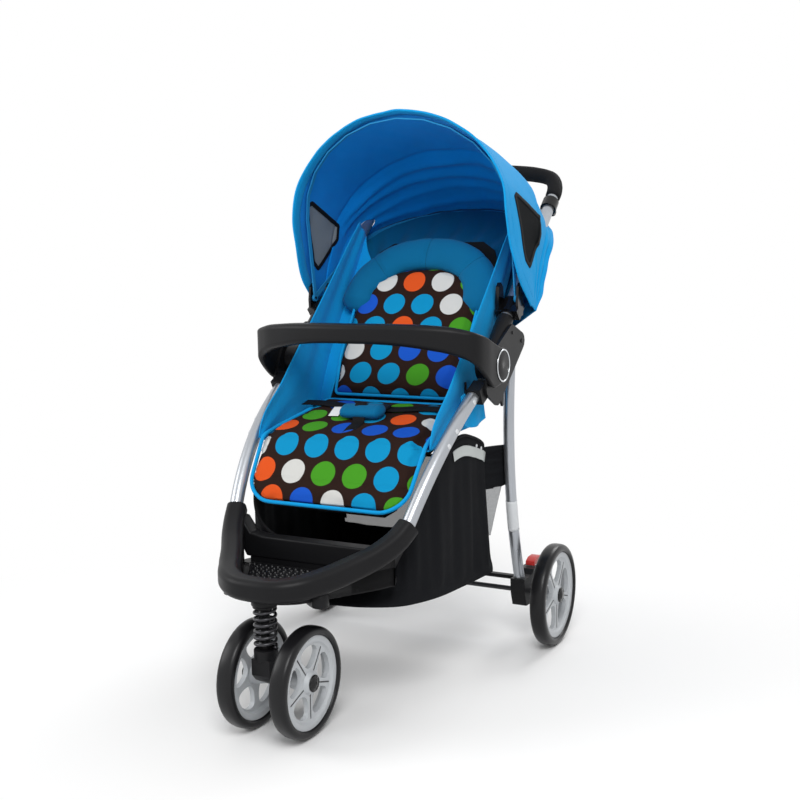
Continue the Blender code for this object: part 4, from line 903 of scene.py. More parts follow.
def build_footrest(size):
    half = list(FOOT_STATIONS)
    whole = np.array(half + [(-x, y, z, w, h) for x, y, z, w, h in half[-2::-1]])
    line = spline(whole, 110)
    rings = []
    for i in range(len(line)):
        tangent = unit(line[min(i + 1, len(line) - 1), :3] - line[max(i - 1, 0), :3])
        across = unit(np.cross(tangent, (0, 0, 1)))
        up = np.cross(across, tangent)
        rings.append([line[i, :3] + across * p + up * q
                      for p, q in rounded(line[i, 3], line[i, 4], 0.0125, 7)])
    add_piece("footrest_ring", loft(rings), LOOKS["black"], "chassis", "footrest",
              0.0007)
    step = [(-0.170, 0.332), (-0.170, 0.304), (-0.146, 0.260), (0.146, 0.260), (0.170, 0.304),
            (0.170, 0.332), (0.156, 0.332), (0.136, 0.304), (0.110, 0.300), (-0.110, 0.300),
            (-0.136, 0.304), (-0.156, 0.332)]
    add_piece("footrest_step", prism(step, -0.188, -0.158, "Y"), LOOKS["black"], "chassis", (),
              0.0035)
    plate = foot_plan(0.026, -0.190)
    plate += [(-0.150, -0.159), (0.150, -0.159)]
    add_piece("footrest_plate", prism(plate, 0.240, 0.2505, "Z"), LOOKS["black"], "chassis", (),
              0.0012)
    skirt = foot_plan(0.025, -0.190) + foot_plan(0.034, -0.189)[::-1]
    add_piece("footrest_wall", prism(skirt, 0.2415, 0.2740, "Z"), LOOKS["black"], "chassis", ())
    high = []
    for flip in (1, -1):
        rear = [p for p in foot_plan(0.025, -0.190)[::-1] if p[1] > -0.262 and p[0] > 0]
        wall = [p for p in foot_plan(0.034, -0.189) if p[1] > -0.262 and p[0] > 0]
        high.append(prism([(x * flip, y) for x, y in wall + rear], 0.243, 0.298, "Z"))
    high.append(prism([(-0.138, -0.186), (0.138, -0.186), (0.138, -0.161), (-0.138, -0.161)],
                      0.242, 0.264, "Z"))
    add_piece("footrest_sides", together(*high), LOOKS["black"], "chassis", (),
              0.0008)
    boss = [(0.0, 0.2336), (0.0215, 0.2336), (0.0225, 0.2346), (0.0225, 0.2500), (0.0, 0.2500)]
    knobs = [lathe(boss, (0, STEM_Y, 0), 48, "Z")]
    for x in (0.088, -0.088):
        knobs.append(lathe([(0.0, 0.232), (0.014, 0.232), (0.015, 0.233), (0.015, 0.262),
                            (0.0, 0.262)], (x, -0.312, 0), 40, "Z"))
    add_piece("footrest_bosses", together(*knobs), LOOKS["black"], "chassis", ())
    outline = foot_plan(0.0475, -0.205, 70)
    mat = mesh_object("mat_look", prism(outline, 0.2508, 0.2535, "Z"))
    bevelled(mat, 0.0009, 3)
    place_piece(mat, LOOKS["mat"], "chassis", "footrest_mat")
    rows = []
    for i, y in enumerate(np.arange(-0.356, -0.208, 0.0105)):
        inside_ = [p[0] for p in outline if p[1] < y]
        reach = (max(inside_) if inside_ else 0.0) - 0.010
        start = 0.006 if i % 2 else 0.0
        rows += [[(-reach + start, y, 0.2532), (reach, y, 0.2532)]] if reach > 0.03 else []
    bead_row("mat_pimples", rows, 0.012, 0.0064, 0.0064, LOOKS["mat"], "chassis")


# Wheels
def build_wheels(size):
    for kind, radius, track, y, hub_in, hub_out, cap in (
            ("rear", REAR_WHEEL_R, REAR_HALF_TRACK, REAR_AXLE_Y, -0.018, 0.0145, 0.0155),
            ("front", FRONT_WHEEL_R, FRONT_HALF_TRACK, FRONT_AXLE_Y, -0.032, 0.0144, 0.0145)):
        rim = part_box(kind + "_rim_right")
        rim_r = (rim[1].z - rim[0].z) / 2
        half = size.tyre_width / 2
        section = []
        for a in np.linspace(0, math.pi, 17):
            c = math.copysign(abs(math.cos(a)) ** 0.62, math.cos(a))
            s = abs(math.sin(a)) ** 0.62
            section.append((rim_r + 0.002 + (radius - rim_r - 0.002) * s, half * c))
        section += [(rim_r + 0.0003, -half + 0.005), (rim_r + 0.0003, half - 0.005)]
        web = rim_r - 0.0125
        profile = [(0.0050, hub_in), (0.0050, hub_out), (0.0150, hub_out),
                   (0.0165, hub_out - 0.001), (0.0200, 0.0070), (web - 0.0020, 0.0070),
                   (web - 0.0002, 0.0078), (web + 0.0020, 0.0112), (web + 0.0040, 0.0116),
                   (rim_r - 0.0006, 0.0116),
                   (rim_r, 0.0110), (rim_r, -0.0110), (rim_r - 0.0006, -0.0115),
                   (web + 0.0020, -0.0115), (web - 0.0010, -0.0020), (0.0200, -0.0020),
                   (0.0130, hub_in)]
        centre = (track, y, radius)
        openings = []
        grooves = []
        mid = (0.0255 + web - 0.0035) / 2
        reach = (web - 0.0035 - 0.0255) / 2
        for i in range(SPOKES):
            aim = math.pi / 2 + 2 * math.pi * i / SPOKES
            outline = []
            for a in np.arange(40) * 2 * math.pi / 40:
                s = math.copysign(abs(math.sin(a)) ** 0.75, math.sin(a))
                c = math.copysign(abs(math.cos(a)) ** 0.75, math.cos(a))
                r = mid + reach * s
                spread = (math.pi / SPOKES - SPOKE_WIDTH / 2 / r) * c
                outline.append((y + r * math.cos(aim + spread),
                                radius + r * math.sin(aim + spread)))
            openings.append(prism(outline, track - 0.016, track + 0.016))
            # A thin near-black strip on the face of each spoke: painted shade standing for the
            # shadow in a slot, which is not cut.
            aim += math.pi / SPOKES
            way = np.array((math.cos(aim), math.sin(aim)))
            side = np.array((-way[1], way[0])) * 0.0011
            far = web - 0.004
            line = [way * 0.021 + side, way * far + side, way * far - side, way * 0.021 - side]
            grooves.append(prism([(y + p[0], radius + p[1]) for p in line], track + 0.0071,
                                 track + 0.0074))
        for side, flip in (("right", 1), ("left", -1)):
            body = kind + "_wheel_" + side
            shapes = [lathe(section, centre, 128), lathe(profile, centre, 96), together(*grooves)]
            cuts = openings
            if flip < 0:
                shapes = [mirrored(s) for s in shapes]
                cuts = [mirrored(s) for s in openings]
            add_piece("{}_tyre_look_{}".format(kind, side), shapes[0], LOOKS["tyre"], body,
                      "{}_tyre_{}".format(kind, side))
            wheel = mesh_object("{}_rim_look_{}".format(kind, side), shapes[1])
            cut(wheel, *cuts)
            bevelled(wheel, 0.0009, 2, 40)
            place_piece(wheel, LOOKS["rim"], body, "{}_rim_{}".format(kind, side))
            # The spokes' near-black strips, painted shade for the slots' shadows.
            add_piece("{}_grooves_{}".format(kind, side), shapes[2], LOOKS["groove"], body)
            x = track + hub_out + 0.0003
            shape = lathe([(0.0, x), (cap, x), (cap, x + 0.0018), (cap - 0.0012, x + 0.003),
                           (cap * 0.6, x + 0.0034), (cap * 0.55, x + 0.0044),
                           (0.0, x + 0.0046)], (0, y, radius), 64)
            add_piece("{}_cap_{}".format(kind, side), shape if flip > 0 else mirrored(shape),
                      LOOKS["gloss"], body, "{}_hub_cap_{}".format(kind, side))


def build_caster(size):
    refined("caster_stem", LOOKS["black"], 0.0012)
    refined("front_fork", LOOKS["black"], 0.0018, 3)
    finish_node("front_axle", LOOKS["steel"])
    finish_node("rear_axle", LOOKS["steel"])
    refined("rear_cross_bar", LOOKS["black"], 0.0008)
    refined_pair("rear_bracket", LOOKS["black"], 0.0018, 3)
    refined_pair("brake_pedal", LOOKS["red"], 0.0012, 3)
    a = np.linspace(0, SPRING_TURNS * 2 * math.pi, 300)
    height = SPRING_LOW + (SPRING_HIGH - SPRING_LOW) * a / a[-1]
    coil = np.column_stack([SPRING_R * np.cos(a), STEM_Y + SPRING_R * np.sin(a), height])
    spring = add_piece("spring_look", pipe(coil, SPRING_WIRE, 12, (0, 0, 1)), LOOKS["steel"],
                       "caster", "front_spring")
    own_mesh(spring)


# The seat
def seat_frame(f):
    """A point and the outward way of the seat, so far along from the legrest's low edge."""
    low = np.array(LEGREST_LOW)
    crease = np.array(SEAT_CREASE)
    back = np.array(SEAT_BACK)
    leg = unit(crease - low)
    seat = unit(back - crease)
    long = np.linalg.norm(crease - low)
    n_leg = np.array((-leg[1], leg[0]))
    n_seat = np.array((-seat[1], seat[0]))
    if f < long:
        point = low + leg * f
    else:
        point = crease + seat * (f - long)
    k = min(1.0, max(0.0, (f - long + 0.012) / 0.024))
    return point, unit(n_leg * (1 - k) + n_seat * k)


SEAT_HALF = ((0, 0.006, 0.02, 0.04, 0.134, 0.18, 0.33),
             (0.118, 0.138, 0.158, 0.170, 0.176, 0.170, 0.136))
BACK_HALF = ((0, 0.05, 0.10, 0.235, 0.258, 0.276, 0.292, 0.306, 0.316),
             (0.127, 0.135, 0.143, 0.144, 0.136, 0.118, 0.095, 0.062, 0.030))


def cushion(count, along_low, along_high, place, halves, thick, crown):
    """A pad as rings across it; place gives a point and an outward way for each row."""
    rings = []
    for v in np.linspace(along_low, along_high, count):
        point, normal = place(v)
        half = float(np.interp(v, *halves)) - 0.0005
        edge = min(1.0, 0.35 + (v - along_low) / 0.02, 0.35 + (along_high - v) / 0.02)
        ring = []
        for x in np.linspace(-1, 1, 21):
            rise = crown * edge * (1 - abs(x) ** 3)
            ring.append((x * half, point[0] + normal[0] * rise, point[1] + normal[1] * rise))
        low = thick * (0.5 + 0.5 * edge)
        for x in np.linspace(1, -1, 21):
            ring.append((x * half * 0.95, point[0] - normal[0] * low, point[1] - normal[1] * low))
        rings.append(ring)
    return loft(rings)


def seat_uv(points):
    low = np.array(LEGREST_LOW)
    crease = np.array(SEAT_CREASE)
    back = np.array(SEAT_BACK)
    leg = unit(crease - low)
    seat = unit(back - crease)
    long = np.linalg.norm(crease - low)
    on_leg = (points[:, 1:] - low) @ leg
    on_seat = (points[:, 1:] - crease) @ seat
    past = on_leg - long
    share = np.clip(0.5 - (past + on_seat) / 0.12, 0, 1)
    v = long + past * share + on_seat * (1 - share)
    return np.column_stack([points[:, 0] + 0.012, v + 0.018])


def back_uv(points):
    along = np.array((math.cos(BACK_LEAN), math.sin(BACK_LEAN)))
    v = (points[:, 1:] - np.array(SEAT_BACK)) @ along
    return np.column_stack([points[:, 0] + 0.012, v + 0.330 + 0.018])


def rim_line(place, halves, low, high, lift, inset, count=60):
    """The edge of a pad, all the way round, from its front right corner."""
    right = []
    for v in np.linspace(low, high, count):
        point, normal = place(v)
        half = float(np.interp(v, *halves)) - inset
        right.append((half, point[0] + normal[0] * lift, point[1] + normal[1] * lift))
    left = [(-x, y, z) for x, y, z in right[::-1]]
    return np.array(right), np.array(left)


def eased_loop(points, count, passes):
    """A closed line at even steps, with its corners eased, that ends where it starts."""
    closed = np.concatenate([points, points[:1]])
    s = np.concatenate([[0], np.cumsum(np.linalg.norm(np.diff(closed, axis=0), axis=1))])
    t = np.linspace(0, s[-1], count, endpoint=False)
    line = np.column_stack([np.interp(t, s, closed[:, k]) for k in range(3)])
    for _ in range(passes):
        line = (np.roll(line, 1, 0) + line + np.roll(line, -1, 0)) / 3
    return np.concatenate([line, line[:2]])


def build_seat(size):
    refined("seat_base", LOOKS["black_cloth"], 0.0015)
    pad = mesh_object("seat_pad_look", cushion(60, 0.002, 0.324, seat_frame, SEAT_HALF,
                                               PAD_THICK - 0.002, 0.002))
    padded_mesh(pad, 0.0048, size.stuffing, 0.006)

    def settle(points, normals):
        uv = seat_uv(points)
        v = uv[:, 1] - 0.018
        up = np.clip(normals[:, 2] + 0.3, 0, 1)
        seam = np.exp(-((v - 0.1345) / 0.006) ** 2) + 0.6 * np.exp(-((v - 0.046) / 0.004) ** 2)
        soft = waves(points, 4, 0.07) * 0.0012 + waves(points, 9, 0.025) * 0.0004
        return points + normals * (soft - 0.0032 * seam * up)[:, None]

    reshaped(pad, settle)
    set_uv(pad, seat_uv)
    place_piece(pad, LOOKS["dots"], "chassis", "seat_pad")
    right, left = rim_line(seat_frame, SEAT_HALF, 0.002, 0.321, -0.0005, 0.0040, 70)
    loop = eased_loop(np.concatenate([right, left]), 300, 5)
    edge = mesh_object("seat_piping", pipe(loop, 0.0037, 12))
    set_uv(edge, lambda p: p[:, :2])
    place_piece(edge, LOOKS["blue"], "chassis", ())
    rows = []
    for f in (0.1345 - 0.010, 0.1345 + 0.010):
        point, normal = seat_frame(f)
        half = float(np.interp(f, *SEAT_HALF)) - 0.014
        rows.append([(half, point[0] + normal[0] * 0.0042, point[1] + normal[1] * 0.0042),
                     (-half, point[0] + normal[0] * 0.0042, point[1] + normal[1] * 0.0042)])
    bead_row("seat_stitches", rows, 0.0052, 0.0032, 0.0009, LOOKS["black_cloth"], "chassis")


def build_harness(size):
    seat = unit(np.array(SEAT_BACK) - np.array(SEAT_CREASE))
    normal = np.array((-seat[1], seat[0]))
    for side, flip in (("right", 1), ("left", -1)):
        rows = spline([(0.034, 0.124, 0.0130), (0.050, 0.128, 0.0108), (0.080, 0.134, 0.0112),
                       (0.110, 0.142, 0.0100), (0.140, 0.146, 0.0086), (0.166, 0.148, 0.0070)], 40)
        path = []
        for x, along, lift in rows:
            p = np.array(SEAT_CREASE) + seat * along + normal * lift
            path.append((x * flip, p[0], p[1]))
        strap = mesh_object("waist_strap_look_" + side,
                            ribbon(path, [(0, normal[0], normal[1])] * len(path), 0.025, 0.0018))
        set_uv(strap, lambda p: p[:, :2])
        place_piece(strap, LOOKS["webbing"], "chassis", "waist_strap_" + side)
    middle_ = np.array(SEAT_CREASE) + seat * 0.118 + normal * 0.0155
    box = [(x, middle_[0] + seat[0] * a + normal[0] * b, middle_[1] + seat[1] * a + normal[1] * b)
           for x, a, b in ((0.040, -0.017, -0.003), (0.040, 0.017, -0.003), (0.040, 0.015, 0.004),
                           (0.040, -0.015, 0.004))]
    other = [(-p[0], p[1], p[2]) for p in box]
    add_piece("buckle", loft([box, other]), LOOKS["black"], "chassis", (),
              0.0030)
    rings = []
    for x in np.linspace(-0.0445, 0.0445, 60):
        u = abs(x) / 0.0445
        end = max(0.25, math.sqrt(max(0.0, 1 - max(0, u - 0.72) ** 2 / 0.28 ** 2)))
        end *= 1 - 0.05 * math.exp(-((u - 0.70) / 0.04) ** 2)
        along = 0.090 + 0.06 * x
        centre = np.array(SEAT_CREASE) + seat * along + normal * 0.0210
        ring = []
        for a in np.arange(32) * 2 * math.pi / 32:
            p = centre + seat * 0.021 * end * math.cos(a) + normal * 0.0125 * end * math.sin(a)
            ring.append((x, p[0], p[1]))
        rings.append(ring)
    roll = mesh_object("crotch_pad_look", loft(rings))
    reshaped(roll, lambda p, n: p + n * (waves(p, 12, 0.03) * 0.0007)[:, None])
    set_uv(roll, lambda p: p[:, :2])
    place_piece(roll, LOOKS["teal"], "chassis", "crotch_pad")
    rows = spline([(0.006, 0.012, 0.0075), (0.004, 0.040, 0.0085), (0.002, 0.066, 0.0100),
                   (0.0, 0.078, 0.0250), (0.0, 0.092, 0.0346), (0.0, 0.108, 0.0280),
                   (0.0, 0.124, 0.0160)], 50)
    path = []
    for x, along, lift in rows:
        p = np.array(SEAT_CREASE) + seat * along + normal * lift
        path.append((x, p[0], p[1]))
    strap = mesh_object("crotch_strap", ribbon(path, tube_normals(path, (0, normal[0], normal[1])),
                                               0.025, 0.0018))
    set_uv(strap, lambda p: p[:, [1, 0]])
    place_piece(strap, LOOKS["webbing"], "chassis", ())
    path = []
    for x, along, lift in spline([(-0.066, 0.116, 0.0150), (-0.064, 0.100, 0.0135),
                                  (-0.062, 0.082, 0.0105)], 12):
        p = np.array(SEAT_CREASE) + seat * along + normal * lift
        path.append((x, p[0], p[1]))
    tag = mesh_object("blank_tag", ribbon(path, [(0, normal[0], normal[1])] * len(path), 0.022,
                                          0.0008))
    set_uv(tag, lambda p: p[:, :2])
    place_piece(tag, LOOKS["tag"], "chassis")


def back_place(v):
    point = back_point(0, v, 0)
    return point[1:], np.array((-math.sin(BACK_LEAN), math.cos(BACK_LEAN)))


def build_back(size):
    refined("back_board", LOOKS["black_cloth"], 0.002, 3)
    pad = mesh_object("back_pad_look", cushion(56, 0.010, 0.314, back_place, BACK_HALF,
                                               PAD_THICK - 0.002, 0.002))
    padded_mesh(pad, 0.0048, size.stuffing, 0.006)
    reshaped(pad, lambda p, n: p + n * (waves(p, 5, 0.08) * 0.0014
                                        + waves(p, 6, 0.025) * 0.0004)[:, None])
    set_uv(pad, back_uv)
    place_piece(pad, LOOKS["dots"], "backrest", "back_pad")
    right, left = rim_line(back_place, BACK_HALF, 0.011, 0.309, -0.0005, 0.0035, 70)
    loop = eased_loop(np.concatenate([right, left]), 300, 5)
    up = (loop[:, 1:] - np.array(SEAT_BACK)) @ np.array((math.cos(BACK_LEAN), math.sin(BACK_LEAN)))
    loop[:, 1:] -= np.clip((up - 0.280) / 0.02, 0, 1)[:, None] * 0.012 * back_place(0.3)[1]
    edge = mesh_object("back_piping", pipe(loop, 0.0030, 12))
    set_uv(edge, lambda p: p[:, :2])
    place_piece(edge, LOOKS["blue"], "backrest", ())
    half = [(0.1400, 0.2080), (0.1360, 0.2560), (0.1160, 0.3000), (0.0800, 0.3300),
            (0.0400, 0.3440), (0.0, 0.3480)]
    flat = spline([(x, v, 0) for x, v in half + [(-x, v) for x, v in half[-2::-1]]], 81)
    rings = []
    seams = []
    for i, (x, v, _) in enumerate(flat):
        f = i / 80
        way = unit(flat[min(i + 1, 80), :2] - flat[max(i - 1, 0), :2])
        out = np.array((-way[1], way[0]))
        out = -out if out[1] < 0 else out
        swell = 0.70 + 0.30 * abs(math.sin(4 * math.pi * f)) ** 0.35
        tip = min(1.0, 0.40 + (min(f, 1 - f) / 0.05) ** 0.6 * 0.6)
        ring = []
        for a in np.arange(36) * 2 * math.pi / 36:
            across = 0.0370 * tip * (0.90 + 0.10 * swell) * math.cos(a)
            rise = max(0.0225 * swell * tip * math.copysign(abs(math.sin(a)) ** 0.8,
                                                            math.sin(a)), -0.0165)
            ring.append(back_point(x + out[0] * across, v + out[1] * across, rise - 0.0050))
        rings.append(ring)
        if i in (20, 40, 60):
            seams.append([p + unit(p - np.mean(ring, axis=0)) * 0.0004 for p in ring[:18]])
    roll = mesh_object("bolster_look", loft(rings))
    reshaped(roll, lambda p, n: p + n * (waves(p, 15, 0.035) * 0.0008)[:, None])
    set_uv(roll, lambda p: np.column_stack([p[:, 0], p[:, 2]]))
    place_piece(roll, LOOKS["teal"], "backrest", "head_bolster")
    bead_row("bolster_stitches", seams, 0.0045, 0.0030, 0.0010, LOOKS["black_cloth"], "backrest")


def build_side_cloths(size):
    front = [(-0.086, 0.462), (-0.080, 0.482), (0.000, 0.562), (0.100, 0.660), (0.200, 0.758),
             (0.268, 0.826), (0.322, 0.876)]
    rear = [(-0.080, 0.460), (-0.020, 0.464), (0.040, 0.476), (0.090, 0.478), (0.128, 0.482),
            (0.150, 0.530), (0.185, 0.600), (0.245, 0.690), (0.315, 0.790),
            (0.350, 0.845)]
    a = spline([(y, z, 0) for y, z in front], 80)[:, :2]
    b = spline([(y, z, 0) for y, z in rear], 80)[:, :2]
    grid = []
    for i in range(80):
        row = []
        for j in range(26):
            k = j / 25
            y, z = a[i] * (1 - k) + b[i] * k
            bulge = 0.0035 * math.sin(math.pi * k) * math.sin(math.pi * i / 79)
            fold = 0.0016 * math.sin(9 * k + 5.0 * i / 79) * math.sin(math.pi * k)
            row.append((0.1807 + bulge + fold, y, z))
        v = (b[i] - np.array(SEAT_BACK)) @ np.array((math.cos(BACK_LEAN), math.sin(BACK_LEAN)))
        if v > 0:
            end = back_point(0.1475, min(v, 0.345), -0.0215)
        else:
            end = np.array((0.162, b[i][0], b[i][1] - 0.004))
        for k in np.linspace(0, 1, 11)[1:]:
            p = np.array(row[25]) * (1 - k) + end * k
            row.append(tuple(p + np.array((0.004 * math.sin(math.pi * k), 0, 0))))
        grid.append(row)
    for side, flip in (("right", 1), ("left", -1)):
        shape = grid_shape(grid)
        shape = shape if flip > 0 else mirrored(shape)
        wing = mesh_object("side_wing_look_" + side, shape, closed=False)
        set_uv(wing, lambda p: p[:, 1:])
        thickened(wing, 0.0018)
        applied(wing)
        place_piece(wing, LOOKS["blue"], "chassis", "side_wing_" + side)
        wing.parent = None
        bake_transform(wing)
        slot = [(0.1850 * flip, 0.061, z) for z in np.linspace(0.530, 0.566, 12)]
        edge = mesh_object("strap_slot_" + side, ribbon(slot, [(flip, 0, 0)] * 12, 0.0065,
                                                        0.0022))
        set_uv(edge, lambda p: p[:, 1:])
        place_piece(edge, LOOKS["webbing"], "chassis")
        seam = spline([(0.1826 * flip, y, z) for y, z in front], 60)
        bead_row("wing_stitches_" + side, [seam[4:30] + (0, 0.008, -0.002)], 0.006, 0.0035,
                 0.0009, LOOKS["lining"], "chassis")
    flap = []
    for i in range(40):
        row = []
        for j in range(16):
            u = i / 39
            k = j / 15
            y = 0.016 + 0.100 * u
            top = 0.545 + 0.020 * (1 - (2 * u - 1) ** 2) * 0.3
            z = top + (0.482 + 0.010 * (2 * u - 1) ** 2 - top) * k
            x = 0.1965 + 0.004 * k + 0.0022 * math.sin(11 * u + 2 * k) * k
            row.append((x, y, z))
        flap.append(row)
    for side, flip in (("right", 1), ("left", -1)):
        shape = grid_shape(flap) if flip > 0 else mirrored(grid_shape(flap))
        skirt = mesh_object("seat_skirt_" + side, shape, closed=False)
        set_uv(skirt, lambda p: p[:, 1:])
        thickened(skirt, 0.0014)
        applied(skirt)
        place_piece(skirt, LOOKS["blue"], "chassis", ())


# The hood
HOOD_STATIONS = (
    (0.2355, 0.140, 0.880, 0.147, 1.080, 0.2385, 0.158, 0.812, 0.2430, 0.183, 0.757, 0.2475,
     0.240, 0.700),
    (0.2380, 0.205, 0.870, 0.235, 1.068, 0.2405, 0.212, 0.810, 0.2440, 0.222, 0.757, 0.2475,
     0.246, 0.698),
    (0.2385, 0.275, 0.855, 0.330, 1.040, 0.2410, 0.265, 0.800, 0.2440, 0.258, 0.752, 0.2475,
     0.251, 0.695),
    (0.2380, 0.335, 0.835, 0.430, 0.985, 0.2410, 0.305, 0.785, 0.2440, 0.283, 0.745, 0.2475,
     0.256, 0.692),
    (0.2365, 0.385, 0.815, 0.513, 0.900, 0.2410, 0.336, 0.759, 0.2440, 0.307, 0.722, 0.2475,
     0.262, 0.689))
WINDOW = ((0.192, 0.908), (0.206, 0.914), (0.322, 0.870), (0.316, 0.838), (0.242, 0.776),
          (0.224, 0.790))


def through(values, count):
    """Rows of values at even steps, smoothly filled in to a count of rows."""
    values = np.asarray(values, float)
    slope = np.gradient(values, axis=0)
    t = np.linspace(0, len(values) - 1, count)
    i = np.clip(t.astype(int), 0, len(values) - 2)
    u = (t - i).reshape(-1, *([1] * (values.ndim - 1)))
    a = values[i] * (1 + 2 * u) * (1 - u) ** 2
    b = slope[i] * u * (1 - u) ** 2
    c = values[i + 1] * u * u * (3 - 2 * u)
    d = slope[i + 1] * u * u * (u - 1)
    return a + b + c + d


def hood_grid(rows, cols):
    sections = []
    for half, side_y, side_z, top_y, top_z, *drop in HOOD_STATIONS:
        drop = [np.array(drop[3 * i:3 * i + 3]) for i in range(3)]
        right = [drop[2], drop[1], drop[0]]
        for angle in (0, 12, 25, 39, 54, 72, 90):
            a = math.radians(angle)
            right.append(np.array((half * math.cos(a), side_y + (top_y - side_y) * math.sin(a),
                                   side_z + (top_z - side_z) * math.sin(a))))
        whole = right + [p * (-1, 1, 1) for p in right[-2::-1]]
        sections.append(spline(whole, cols))
    return through(sections, rows)


def grid_normals(grid, centre):
    """The way out of a grid of points, away from a centre."""
    along = np.gradient(grid, axis=0)
    across = np.gradient(grid, axis=1)
    normal = np.cross(along, across)
    normal /= np.maximum(np.linalg.norm(normal, axis=2, keepdims=True), 1e-12)
    flip = np.sign(np.sum(normal * (grid - centre), axis=2, keepdims=True))
    flip[flip == 0] = 1
    return normal * flip


def in_polygon(y, z, polygon):
    inside_ = np.zeros(y.shape, bool)
    for (a, b), (c, d) in zip(polygon, polygon[1:] + polygon[:1]):
        crosses = (b > z) != (d > z)
        with np.errstate(divide="ignore", invalid="ignore"):
            at = a + (z - b) * (c - a) / (d - b)
        inside_ ^= crosses & (y < at)
    return inside_


HOOD_CENTRE = np.array((0.0, 0.30, 0.80))


def hood_bend(obj):
    """Frees a piece of the hood's cloth from its body and bakes its place into its mesh."""
    obj.parent = None
    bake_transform(obj)


def hood_piece(obj, look):
    """Gives a piece on the hood's cloth its finish and place, and frees it from its body like the
    cloth.
    """
    obj.data.materials.append(LOOKS[look])
    obj.data.transform(Matrix.Translation((0, ZERO_Y, 0)))
    hood_bend(obj)
    return obj.name


